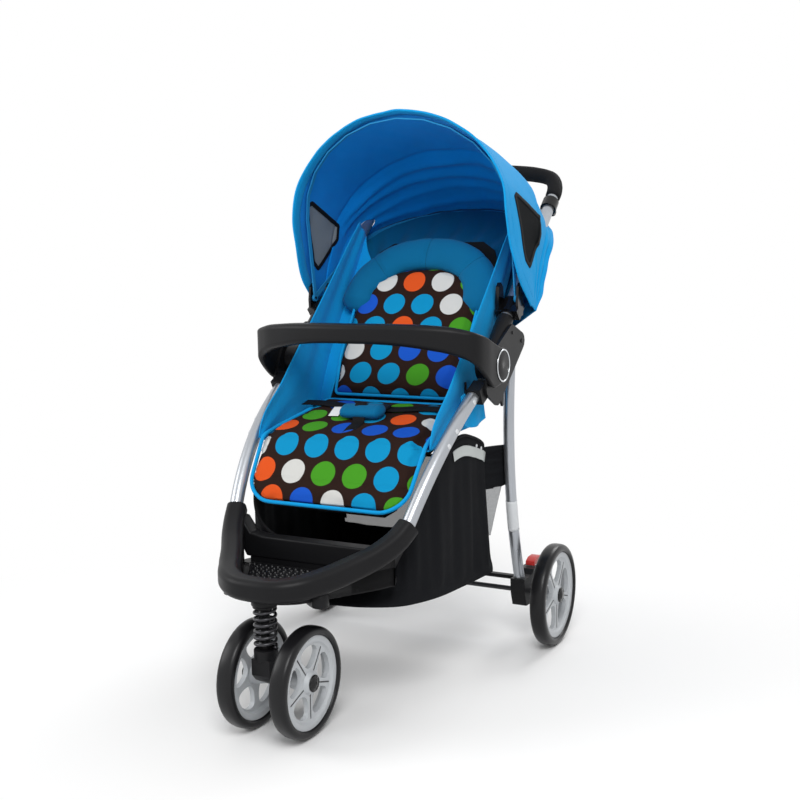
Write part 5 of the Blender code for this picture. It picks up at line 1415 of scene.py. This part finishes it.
def build_hood(size):
    grid = hood_grid(96, 280)
    normal = grid_normals(grid, HOOD_CENTRE)
    place = np.linspace(0, 1, grid.shape[0])[:, None]
    across = np.linspace(-1, 1, grid.shape[1])[None, :]
    ease = np.clip((1 - np.abs(across)) / 0.12, 0, 1) * np.ones_like(place)
    sleeve = np.exp(-((place - HOOD_SEAM - 0.05 * across ** 2) / 0.012) ** 2)
    for at, deep in ((0.85, 1.2), (0.93, 1.4)):
        at = at + 0.012 * np.sin(7 * across + 20 * at)
        sleeve = sleeve - deep * np.exp(-((place - at) / 0.020) ** 2)
    sag = np.sin(math.pi * np.clip(place / HOOD_SEAM, 0, 1)) * np.exp(-(across / 0.6) ** 4)
    sag2 = np.sin(math.pi * np.clip((place - HOOD_SEAM) / (1 - HOOD_SEAM), 0, 1))
    pulls = np.exp(-((place - 0.60) / 0.15) ** 2) * np.sin(34 * across + 9 * place) * 0.0010
    pulls = pulls + np.exp(-((place - 0.95) / 0.10) ** 2) * np.sin(47 * across) * 0.0012
    flat = grid.reshape(-1, 3)
    soft = waves(flat, 31, 0.11).reshape(grid.shape[:2]) * 0.0022
    soft = soft + waves(flat, 32, 0.045).reshape(grid.shape[:2]) * 0.0007
    bunch = np.exp(-((place - 0.665 - 0.03 * across) / 0.030) ** 2)
    bunch = bunch * np.clip(1.15 - (across / 0.62) ** 4, 0, 1)
    bunch = bunch * (0.010 + 0.003 * np.sin(15 * across + 1.0))
    second = np.exp(-((place - 0.76 + 0.04 * across) / 0.026) ** 2)
    bunch = bunch + second * 0.008 * np.clip(1.1 - ((across - 0.15) / 0.5) ** 4, 0, 1)
    shift = ease * (0.0030 * sleeve - bunch - 0.0045 * sag - 0.004 * sag2 + pulls + soft)
    grid = grid + normal * shift[..., None]
    shape = grid_shape(grid)
    hood = mesh_object("hood_look", shape, closed=False)
    mesh = hood.data
    centres = np.array([p.center for p in mesh.polygons], float)
    glass = in_polygon(centres[:, 1], centres[:, 2], list(WINDOW)) & (np.abs(centres[:, 0]) > 0.19)
    mesh.polygons.foreach_set("material_index", np.where(glass, 2, 0).astype(np.int32))
    facing = np.array([p.normal for p in mesh.polygons], float)
    if np.mean(np.sum(facing * (centres - HOOD_CENTRE), axis=1)) < 0:
        mesh.flip_normals()
    step = np.linalg.norm(np.diff(grid, axis=0), axis=2)
    down = np.concatenate([np.zeros((1, grid.shape[1])), np.cumsum(step, axis=0)])
    step = np.linalg.norm(np.diff(grid, axis=1), axis=2)
    side = np.concatenate([np.zeros((grid.shape[0], 1)), np.cumsum(step, axis=1)], axis=1)
    uv = np.column_stack([side.ravel(), down.ravel()])
    set_uv(hood, lambda p: uv)
    thickened(hood, 0.0018, 0.0).modifiers["thickness"].material_offset = 1
    # The last finish is the window's inner face, painted light for the daylight through the mesh.
    for look in ("blue", "lining", "window_out", "window_in_painted_light"):
        mesh.materials.append(LOOKS[look])
    applied(hood)
    poles = []
    for flip in (1, -1):
        path = [push_point(flip * SIDE_X, t) for t in (0.345, 0.475)]
        poles.append(pipe(path, TUBE_R + 0.0010, 32))
    cut(hood, *poles)
    hood.data.transform(Matrix.Translation((0, ZERO_Y, 0)))
    hood_bend(hood)
    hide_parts("hood_shell")
    hem = []
    far = np.linspace(0.0006, 0.025, 9)
    puff = [0, 0.0010, 0.0015, 0.0017, 0.0018, 0.0017, 0.0015, 0.0010, 0]
    for j in range(4, grid.shape[1] - 4, 2):
        at = [np.interp(far, down[:, j], grid[:, j, k]) for k in range(3)]
        out = normal[2, j]
        hem.append(np.column_stack(at) - out * (0.0014 + np.array(puff)[:, None]))
    hem = np.array(hem)
    band = mesh_object("hood_hem", grid_shape(hem), closed=False)
    set_uv(band, lambda p: p[:, :2])
    thickened(band, 0.0006)
    applied(band)
    hood_piece(band, "hem")
    for name, row in (("hood_rim", 0), ("hood_rear_edge", -1)):
        line = spline(grid[row], 200)
        edge = mesh_object(name, pipe(line, 0.0021, 10))
        set_uv(edge, lambda p: p[:, :2])
        hood_piece(edge, "blue")
    for name, flip in (("right", 1), ("left", -1)):
        rim = list(WINDOW) + [WINDOW[0]]
        dense = []
        for (a, b), (c, d) in zip(rim, rim[1:]):
            for k in np.linspace(0, 1, 24)[:-1]:
                dense.append((a + (c - a) * k, b + (d - b) * k))
        dense = np.array(dense)
        dense = (dense + np.roll(dense, 1, 0) + np.roll(dense, -1, 0)
                 + np.roll(dense, 2, 0) + np.roll(dense, -2, 0)) / 5
        cols = slice(0, grid.shape[1] // 2) if flip > 0 else slice(grid.shape[1] // 2, None)
        part = grid[:, cols].reshape(-1, 3)
        ways = normal[:, cols].reshape(-1, 3)
        path = []
        normals = []
        for y, z in dense:
            k = np.argsort((part[:, 1] - y) ** 2 + (part[:, 2] - z) ** 2)[:4]
            path.append((part[k, 0].mean(), y, z))
            normals.append(unit(ways[k].mean(axis=0)))
        path = np.array(path + path[:2])
        normals = np.array(normals + normals[:2])
        for kind, lift in (("outer", 0.0016), ("inner", -0.0016)):
            tape = mesh_object("window_tape_{}_{}".format(kind, name),
                               ribbon(path + normals * lift, normals, 0.0095, 0.0010))
            set_uv(tape, lambda p: p[:, 1:])
            hood_piece(tape, "webbing")
    rows = []
    for at, lift in ((0.0225, 0.0020), (0.0040, 0.0020)):
        line = []
        for j in range(6, grid.shape[1] - 6, 2):
            p = np.array([np.interp(at, down[:, j], grid[:, j, k]) for k in range(3)])
            line.append(p - normal[2, j] * (0.0014 + lift * 0.75))
        rows.append(line)
    for at in (0.0050, 0.0240):
        line = []
        for j in range(6, grid.shape[1] - 6, 2):
            p = np.array([np.interp(at, down[:, j], grid[:, j, k]) for k in range(3)])
            line.append(p + normal[2, j] * 0.0011)
        rows.append(line)
    stitch = bead_row("hood_stitches", rows, 0.0062, 0.0036, 0.0009, LOOKS["hem"],
                      "hood_front")
    hood_bend(stitch)
    for bow in ("rear_bow", "front_bow"):
        refined(bow, LOOKS["sleeve"], 0.0005)
    upper = spline(grid[-2], 160) - np.array((0, 0.001, 0.001))
    lower = [(0.150, 0.130), (0.149, 0.230), (0.146, 0.300), (0.128, 0.340), (0.100, 0.362),
             (0.0, 0.370)]
    lower = spline([(x, v, 0) for x, v in lower + [(-x, v) for x, v in lower[-2::-1]]], 160)
    rows = []
    for f in np.linspace(0, 1, 30):
        line = []
        for c in range(160):
            end = back_point(lower[c, 0], lower[c, 1], -0.0325)
            k = math.sin(math.pi * c / 159)
            droop = math.sin(math.pi * f) * (0.012 * k + 0.0035 * math.sin(0.55 * c))
            line.append(upper[c] * (1 - f) + end * f + np.array((0, droop * 0.4, -droop)))
        rows.append(line)
    veil = mesh_object("curtain_look", grid_shape(rows), closed=False)
    set_uv(veil, lambda p: p[:, :2])
    thickened(veil, 0.0016)
    applied(veil)
    # The rear curtain takes the dark navy finish, painted shade for the shadow behind the bolster.
    place_piece(veil, LOOKS["deep"], "push_frame", "rear_curtain")
    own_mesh(veil)


# The basket
BASKET = (
    ((0.000, 0.207), (0.000, 0.152, 0.405), (0.000, 0.195, 0.225)),
    ((0.090, 0.207), (0.090, 0.152, 0.405), (0.090, 0.195, 0.225)),
    ((0.160, 0.206), (0.165, 0.150, 0.415), (0.162, 0.194, 0.226)),
    ((0.182, 0.192), (0.186, 0.138, 0.436), (0.184, 0.181, 0.228)),
    ((0.186, 0.120), (0.189, 0.085, 0.458), (0.188, 0.113, 0.233)),
    ((0.186, 0.030), (0.187, 0.025, 0.468), (0.188, 0.029, 0.240)),
    ((0.184, -0.050), (0.181, -0.055, 0.440), (0.186, -0.050, 0.240)),
    ((0.172, -0.115), (0.168, -0.118, 0.380), (0.173, -0.115, 0.240)),
    ((0.150, -0.163), (0.148, -0.146, 0.330), (0.151, -0.149, 0.238)),
    ((0.100, -0.198), (0.112, -0.150, 0.296), (0.108, -0.152, 0.235)),
    ((0.050, -0.210), (0.056, -0.151, 0.288), (0.054, -0.152, 0.235)),
    ((0.000, -0.214), (0.000, -0.151, 0.287), (0.000, -0.152, 0.235)))


def basket_floor(y):
    return 0.1685 + 0.0315 * (0.207 - y) / 0.421


def build_basket(size):
    floor = []
    fold = []
    rim = []
    for (fx, fy), top, mid in BASKET:
        floor.append((fx, fy, basket_floor(fy)))
        fold.append(mid)
        rim.append(top)
    rings = [through(r, 121) for r in (floor, fold, rim)]
    rings = [np.concatenate([r, (r * (-1, 1, 1))[-2:0:-1]]) for r in rings]
    count = len(rings[0])
    centre = np.array((0.0, 0.0, basket_floor(0.0)))
    rows = []
    for k in np.linspace(0.02, 0.94, 10):
        ring = centre + (rings[0] - centre) * k
        ring[:, 2] = basket_floor(ring[:, 1])
        rows.append(ring)
    rows += list(through(rings, 34))
    rows = np.array(rows)
    out = rows - np.array((0, 0, 0))
    out[:, :, 2] = 0
    out /= np.maximum(np.linalg.norm(out, axis=2, keepdims=True), 1e-9)
    wall = np.clip((np.arange(len(rows)) - 12) / 8, 0, 1)[:, None] \
        * np.clip((len(rows) - 1 - np.arange(len(rows))) / 6, 0, 1)[:, None]
    angle = np.arange(count)[None, :] * 2 * math.pi / count
    height = np.arange(len(rows))[:, None] / len(rows)
    slack = -0.0035 + 0.0022 * np.sin(17 * angle + 6 * height) + 0.0012 * np.sin(41 * angle)
    rows = rows + out * (slack * wall)[..., None]
    shape_rows = np.concatenate([rows, rows[:, :1]], axis=1)
    shape = grid_shape(shape_rows)
    basket = mesh_object("basket_look", shape, closed=False)
    bm = bmesh.new()
    bm.from_mesh(basket.data)
    bmesh.ops.remove_doubles(bm, verts=bm.verts, dist=1e-6)
    holes = [e for e in bm.edges if e.is_boundary and e.calc_length() < 0.0006]
    bmesh.ops.contextual_create(bm, geom=holes)
    bmesh.ops.recalc_face_normals(bm, faces=bm.faces)
    for face in bm.faces:
        face.smooth = True
        c = face.calc_center_median()
        rear = c.y > 0.140 and abs(c.x) < 0.155 and c.z > 0.235
        face.material_index = 1 if rear else 0
    bm.to_mesh(basket.data)
    bm.free()
    set_uv(basket, lambda p: np.column_stack([p[:, 0] + p[:, 1] * 0.7, p[:, 2] + p[:, 1] * 0.7]))
    thickened(basket, 0.0018)
    basket.data.materials.append(LOOKS["black_cloth"])
    basket.data.materials.append(LOOKS["mesh"])
    applied(basket)
    basket.data.transform(Matrix.Translation((0, ZERO_Y, 0)))
    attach(basket, "chassis")
    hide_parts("basket")
    loop = rings[2]
    path = np.concatenate([loop, loop[:2]])
    edge = mesh_object("basket_rim", pipe(path, 0.0032, 12))
    set_uv(edge, lambda p: p[:, :2])
    place_piece(edge, LOOKS["webbing"], "chassis", ())
    for side, flip in (("right", 1), ("left", -1)):
        keep = [i for i in range(count)
                if flip * loop[i, 0] > 0.15 and -0.004 < loop[i, 1] < 0.140]
        keep.sort(key=lambda i: loop[i, 1])
        wall_line = np.array([rows[-3, i] for i in keep])
        wall_line = spline(wall_line, 40)
        strip = mesh_object("reflective_strip_" + side,
                            ribbon(wall_line + np.array((0.0028 * flip, 0, 0)),
                                   [(flip, 0, 0.05)] * 40, 0.020, 0.0009))
        set_uv(strip, lambda p: p[:, 1:])
        place_piece(strip, LOOKS["reflector"], "chassis")
        marks = [min(keep, key=lambda i: abs(loop[i, 1] - y)) for y in (0.101, 0.121)]
        heads = [dome(rows[-2, i] + np.array((0.0008 * flip, 0, 0)), np.array((flip, 0, 0.0)),
                      0.0036, 0.0016) for i in marks]
        add_piece("basket_rivets_" + side, together(*heads), LOOKS["rivet"], "chassis")
        pleats = []
        for i in range(73):
            f = i / 72
            z = 0.430 - 0.185 * f
            inner = np.array((0.1800, 0.136 + 0.046 * f, z))
            t = (LEG_PIVOT[2] - z) / (LEG_PIVOT[2] - LEG_FOOT[2])
            leg_y = LEG_PIVOT[1] + (LEG_FOOT[1] - LEG_PIVOT[1]) * t - LEG_BOW * 4 * t * (1 - t)
            outer = np.array((0.2010, leg_y - 0.002, z - 0.004))
            if f > 0.45:
                outer = outer + (inner - outer) * (0.16 + 0.78 * (f - 0.45) / 0.55)
            row = []
            for k in np.linspace(0, 1, 12):
                depth = 0.0045 * max(0.2, 1 - 1.6 * f)
                wave = depth * math.sin(math.pi * 16 * f) * math.sin(math.pi * k)
                row.append((inner * (1 - k) + outer * k + np.array((wave, 0, 0))) * (flip, 1, 1))
            pleats.append(row)
        gusset = mesh_object("gusset_look_" + side, grid_shape(pleats), closed=False)
        set_uv(gusset, lambda p: p[:, 1:])
        thickened(gusset, 0.0014)
        applied(gusset)
        place_piece(gusset, (LOOKS["black_cloth"], LOOKS["mesh"]), "chassis",
                    "basket_gusset_" + side)
        low = [p.center.z < 0.342 for p in gusset.data.polygons]
        gusset.data.polygons.foreach_set("material_index", np.array(low, np.int32))
        gusset.parent = None
        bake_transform(gusset)


# The stage
PICTURE_PIXELS = 800
FOCAL_PIXELS = 1104.98


def white_rays(tree):
    """1 for the rays that see the plain white background, 0 for the rest."""
    rays = add_node(tree, "ShaderNodeLightPath").outputs
    seen = rays["Is Camera Ray"]
    for name in ("Is Glossy Ray", "Is Transmission Ray"):
        seen = add_node(tree, "ShaderNodeMath", {0: seen, 1: rays[name]},
                        operation="MAXIMUM").outputs["Value"]
    return seen


def background(name, colour):
    """A pale floor that fades into plain white away from the object and keeps its shadow."""
    material = bpy.data.materials.new(name)
    material.use_nodes = True
    tree = material.node_tree
    shader = feed(tree, tree.nodes["Principled BSDF"],
                  {"Base Color": (*colour, 1), "Roughness": 0.8, "Specular IOR Level": 0.1})
    place = add_node(tree, "ShaderNodeTexCoord").outputs["Object"]
    far = add_node(tree, "ShaderNodeVectorMath", {0: place}, operation="LENGTH")
    fade = add_node(tree, "ShaderNodeMapRange",
                    {"From Min": 0.55, "From Max": 1.15, "Value": far.outputs["Value"]},
                    interpolation_type="SMOOTHSTEP")
    share = add_node(tree, "ShaderNodeMath", {0: white_rays(tree), 1: fade.outputs["Result"]},
                     operation="MULTIPLY")
    white = add_node(tree, "ShaderNodeEmission", {"Color": (1, 1, 1, 1), "Strength": 1.0})
    mix = add_node(tree, "ShaderNodeMixShader",
                   {"Fac": share.outputs["Value"], 1: shader.outputs["BSDF"],
                    2: white.outputs["Emission"]})
    feed(tree, tree.nodes["Material Output"], {"Surface": mix.outputs["Shader"]})
    return material


def lamp(name, spot, aim, size, power, colour=(1, 1, 1)):
    data = bpy.data.lights.new(name, "AREA")
    data.shape = "DISK"
    data.size = size
    data.energy = power
    data.color = colour
    obj = bpy.data.objects.new(name, data)
    bpy.context.scene.collection.objects.link(obj)
    way = Vector(aim) - Vector(spot)
    obj.matrix_world = Matrix.Translation(spot) @ way.to_track_quat("-Z", "Y").to_matrix().to_4x4()
    return obj


def build_stage(size):
    scene = bpy.context.scene
    scene.view_settings.view_transform = "Standard"
    floor = mesh_object("floor", ([(-6, -6, 0), (6, -6, 0), (6, 6, 0), (-6, 6, 0)],
                                  [(0, 1, 2, 3)]), closed=False)
    floor.location.z = -0.0004
    floor.data.materials.append(background("Pale Floor", (0.94, 0.94, 0.94)))
    world = bpy.data.worlds.new("Studio")
    scene.world = world
    world.use_nodes = True
    tree = world.node_tree
    light = feed(tree, tree.nodes["Background"], {"Color": (1, 1, 1, 1), "Strength": 0.55})
    seen = add_node(tree, "ShaderNodeBackground", {"Color": (1, 1, 1, 1), "Strength": 1.0})
    mix = add_node(tree, "ShaderNodeMixShader",
                   {"Fac": white_rays(tree), 1: light.outputs["Background"],
                    2: seen.outputs["Background"]})
    feed(tree, tree.nodes["World Output"], {"Surface": mix.outputs["Shader"]})
    lamp("Key", (1.2, -2.2, 2.6), (0, 0, 0.5), 1.6, 56)
    lamp("Fill", (-2.4, -1.6, 1.8), (0, 0, 0.5), 1.8, 30)
    lamp("Rear", (0.6, 2.4, 2.4), (0, 0, 0.6), 1.6, 34)
    data = bpy.data.cameras.new("Camera")
    data.sensor_width = 36.0
    data.lens = data.sensor_width * FOCAL_PIXELS / PICTURE_PIXELS
    camera = bpy.data.objects.new("Camera", data)
    scene.collection.objects.link(camera)
    turn = 0.4812
    pitch = -0.1302
    roll = -0.0167
    ahead = Vector((-math.sin(turn) * math.cos(pitch), math.cos(turn) * math.cos(pitch),
                    math.sin(pitch)))
    right = Vector((math.cos(turn), math.sin(turn), 0))
    up = right.cross(ahead)
    level = right * math.cos(roll) + up * math.sin(roll)
    above = up * math.cos(roll) - right * math.sin(roll)
    turned = Matrix((level, above, -ahead)).transposed().to_4x4()
    camera.matrix_world = Matrix.Translation((1.0214, -1.80470 + ZERO_Y, 0.8018)) @ turned
    scene.camera = camera


# The add-on
class StrollerSizes(bpy.types.PropertyGroup):
    """Sizes of the pieces, in metres."""

    tube: bpy.props.FloatProperty(name="Tube", description="Outside diameter of the frame tube",
                                  default=0.025, min=0.01, unit="LENGTH")
    grip: bpy.props.FloatProperty(name="Grip", description="Outside diameter of the foam grip",
                                  default=0.032, min=0.02, unit="LENGTH")
    tyre_width: bpy.props.FloatProperty(name="Tyre Width", description="Width of each tyre",
                                        default=0.032, min=0.01, unit="LENGTH")
    stuffing: bpy.props.FloatProperty(name="Stuffing", default=4.0, min=0.0, max=12.0,
                                      description="Pressure inside the seat's pads")


class StrollerColours(bpy.types.PropertyGroup):
    """Colours of the finishes and the size of the printed dots."""

    blue: bpy.props.FloatVectorProperty(
        name="Cloth", description="Colour of the hood and side cloths", subtype="COLOR",
        default=(0.004, 0.31, 0.68), min=0, max=1)
    ground: bpy.props.FloatVectorProperty(
        name="Ground", description="Colour between the printed dots", subtype="COLOR",
        default=(0.020, 0.009, 0.0065), min=0, max=1)
    dot_cyan: bpy.props.FloatVectorProperty(
        name="Cyan Dot", description="First dot colour", subtype="COLOR",
        default=(0.003, 0.25, 0.49), min=0, max=1)
    dot_green: bpy.props.FloatVectorProperty(
        name="Green Dot", description="Second dot colour", subtype="COLOR",
        default=(0.055, 0.28, 0.016), min=0, max=1)
    dot_white: bpy.props.FloatVectorProperty(
        name="White Dot", description="Third dot colour", subtype="COLOR",
        default=(0.58, 0.58, 0.56), min=0, max=1)
    dot_orange: bpy.props.FloatVectorProperty(
        name="Orange Dot", description="Fourth dot colour", subtype="COLOR",
        default=(0.66, 0.083, 0.014), min=0, max=1)
    dot_royal: bpy.props.FloatVectorProperty(
        name="Royal Dot", description="Fifth dot colour", subtype="COLOR",
        default=(0.009, 0.085, 0.50), min=0, max=1)
    dot_size: bpy.props.FloatProperty(name="Dot Size", description="Diameter of a dot",
                                      default=0.0485, min=0.005, unit="LENGTH")
    dot_across: bpy.props.FloatProperty(name="Dot Pitch", default=0.0645, min=0.01,
                                        description="Distance between dots in a row",
                                        unit="LENGTH")
    dot_along: bpy.props.FloatProperty(name="Row Pitch", default=0.054, min=0.01,
                                       description="Distance between rows of dots",
                                       unit="LENGTH")
    black: bpy.props.FloatVectorProperty(
        name="Plastic", description="Colour of the black plastic", subtype="COLOR",
        default=(0.008, 0.008, 0.009), min=0, max=1)
    silver: bpy.props.FloatVectorProperty(
        name="Tube Colour", description="Colour of the metal tube", subtype="COLOR",
        default=(0.42, 0.44, 0.47), min=0, max=1)
    rim: bpy.props.FloatVectorProperty(
        name="Rims", description="Colour of the wheel rims", subtype="COLOR",
        default=(0.46, 0.48, 0.50), min=0, max=1)


def run(operator, build):
    """Runs one builder with the panel's sizes; an error in it stops the script."""
    if not LOOKS:
        make_finishes(bpy.context.scene.stroller_colours)
    build(bpy.context.scene.stroller_sizes)
    operator.report({"INFO"}, operator.bl_label)
    return {"FINISHED"}


class STROLLER_OT_frame_tubes(bpy.types.Operator):
    """Builds the push tube, the front tubes and the rear legs"""
    bl_idname = "stroller.frame_tubes"
    bl_label = "Frame Tubes"

    def execute(self, context):
        return run(self, build_frame_tubes)


class STROLLER_OT_handle(bpy.types.Operator):
    """Builds the foam grip and the release collars"""
    bl_idname = "stroller.handle"
    bl_label = "Handle"

    def execute(self, context):
        return run(self, build_handle)


class STROLLER_OT_hinges(bpy.types.Operator):
    """Builds the fold hinges with their cheeks, sleeves, discs and lock"""
    bl_idname = "stroller.hinges"
    bl_label = "Hinges"

    def execute(self, context):
        return run(self, build_hinges)


class STROLLER_OT_bumper(bpy.types.Operator):
    """Builds the bumper bar"""
    bl_idname = "stroller.bumper"
    bl_label = "Bumper Bar"

    def execute(self, context):
        return run(self, build_bumper)


class STROLLER_OT_footrest(bpy.types.Operator):
    """Builds the moulded footrest and its dimpled mat"""
    bl_idname = "stroller.footrest"
    bl_label = "Footrest"

    def execute(self, context):
        return run(self, build_footrest)


class STROLLER_OT_wheels(bpy.types.Operator):
    """Builds the four wheels: tyres, rims and hub caps"""
    bl_idname = "stroller.wheels"
    bl_label = "Wheels"

    def execute(self, context):
        return run(self, build_wheels)


class STROLLER_OT_caster(bpy.types.Operator):
    """Builds the caster, its spring, the axles' fittings and the brake pedals"""
    bl_idname = "stroller.caster"
    bl_label = "Caster and Brakes"

    def execute(self, context):
        return run(self, build_caster)


class STROLLER_OT_seat(bpy.types.Operator):
    """Builds the padded seat and its board"""
    bl_idname = "stroller.seat"
    bl_label = "Seat"

    def execute(self, context):
        return run(self, build_seat)


class STROLLER_OT_harness(bpy.types.Operator):
    """Builds the waist straps, the buckle and the crotch roll"""
    bl_idname = "stroller.harness"
    bl_label = "Harness"

    def execute(self, context):
        return run(self, build_harness)


class STROLLER_OT_back(bpy.types.Operator):
    """Builds the reclining back, its pad and its bolster"""
    bl_idname = "stroller.back"
    bl_label = "Back"

    def execute(self, context):
        return run(self, build_back)


class STROLLER_OT_side_cloths(bpy.types.Operator):
    """Builds the cloth walls beside the seat"""
    bl_idname = "stroller.side_cloths"
    bl_label = "Side Cloths"

    def execute(self, context):
        return run(self, build_side_cloths)


class STROLLER_OT_hood(bpy.types.Operator):
    """Builds the hood with its bows, windows, hem and rear curtain"""
    bl_idname = "stroller.hood"
    bl_label = "Hood"

    def execute(self, context):
        return run(self, build_hood)


class STROLLER_OT_basket(bpy.types.Operator):
    """Builds the cloth basket, its strips, rivets and gussets"""
    bl_idname = "stroller.basket"
    bl_label = "Basket"

    def execute(self, context):
        return run(self, build_basket)


class STROLLER_OT_stage(bpy.types.Operator):
    """Builds the floor, the lamps and the camera"""
    bl_idname = "stroller.stage"
    bl_label = "Stage"

    def execute(self, context):
        return run(self, build_stage)


OPERATORS = (STROLLER_OT_frame_tubes, STROLLER_OT_handle, STROLLER_OT_hinges,
             STROLLER_OT_bumper, STROLLER_OT_footrest, STROLLER_OT_wheels, STROLLER_OT_caster,
             STROLLER_OT_seat, STROLLER_OT_harness, STROLLER_OT_back, STROLLER_OT_side_cloths,
             STROLLER_OT_hood, STROLLER_OT_basket, STROLLER_OT_stage)


class STROLLER_PT_panel(bpy.types.Panel):
    """Sizes, colours and builders of the stroller"""
    bl_idname = "STROLLER_PT_panel"
    bl_label = "Folding Stroller"
    bl_space_type = "VIEW_3D"
    bl_region_type = "UI"
    bl_category = "Stroller"

    def draw(self, context):
        for group in (context.scene.stroller_sizes, context.scene.stroller_colours):
            column = self.layout.column(align=True)
            for name in group.__annotations__:
                column.prop(group, name)
        column = self.layout.column(align=True)
        for operator in OPERATORS:
            column.operator(operator.bl_idname)


CLASSES = (StrollerSizes, StrollerColours, *OPERATORS, STROLLER_PT_panel)


def register():
    for cls in CLASSES:
        bpy.utils.register_class(cls)
    bpy.types.Scene.stroller_sizes = bpy.props.PointerProperty(type=StrollerSizes)
    bpy.types.Scene.stroller_colours = bpy.props.PointerProperty(type=StrollerColours)


def unregister():
    del bpy.types.Scene.stroller_colours
    del bpy.types.Scene.stroller_sizes
    for cls in reversed(CLASSES):
        bpy.utils.unregister_class(cls)


def main():
    register()
    for operator in OPERATORS:
        getattr(bpy.ops.stroller, operator.bl_idname.split(".")[1])()
    bpy.context.view_layer.update()


if __name__ == "__main__":
    main()
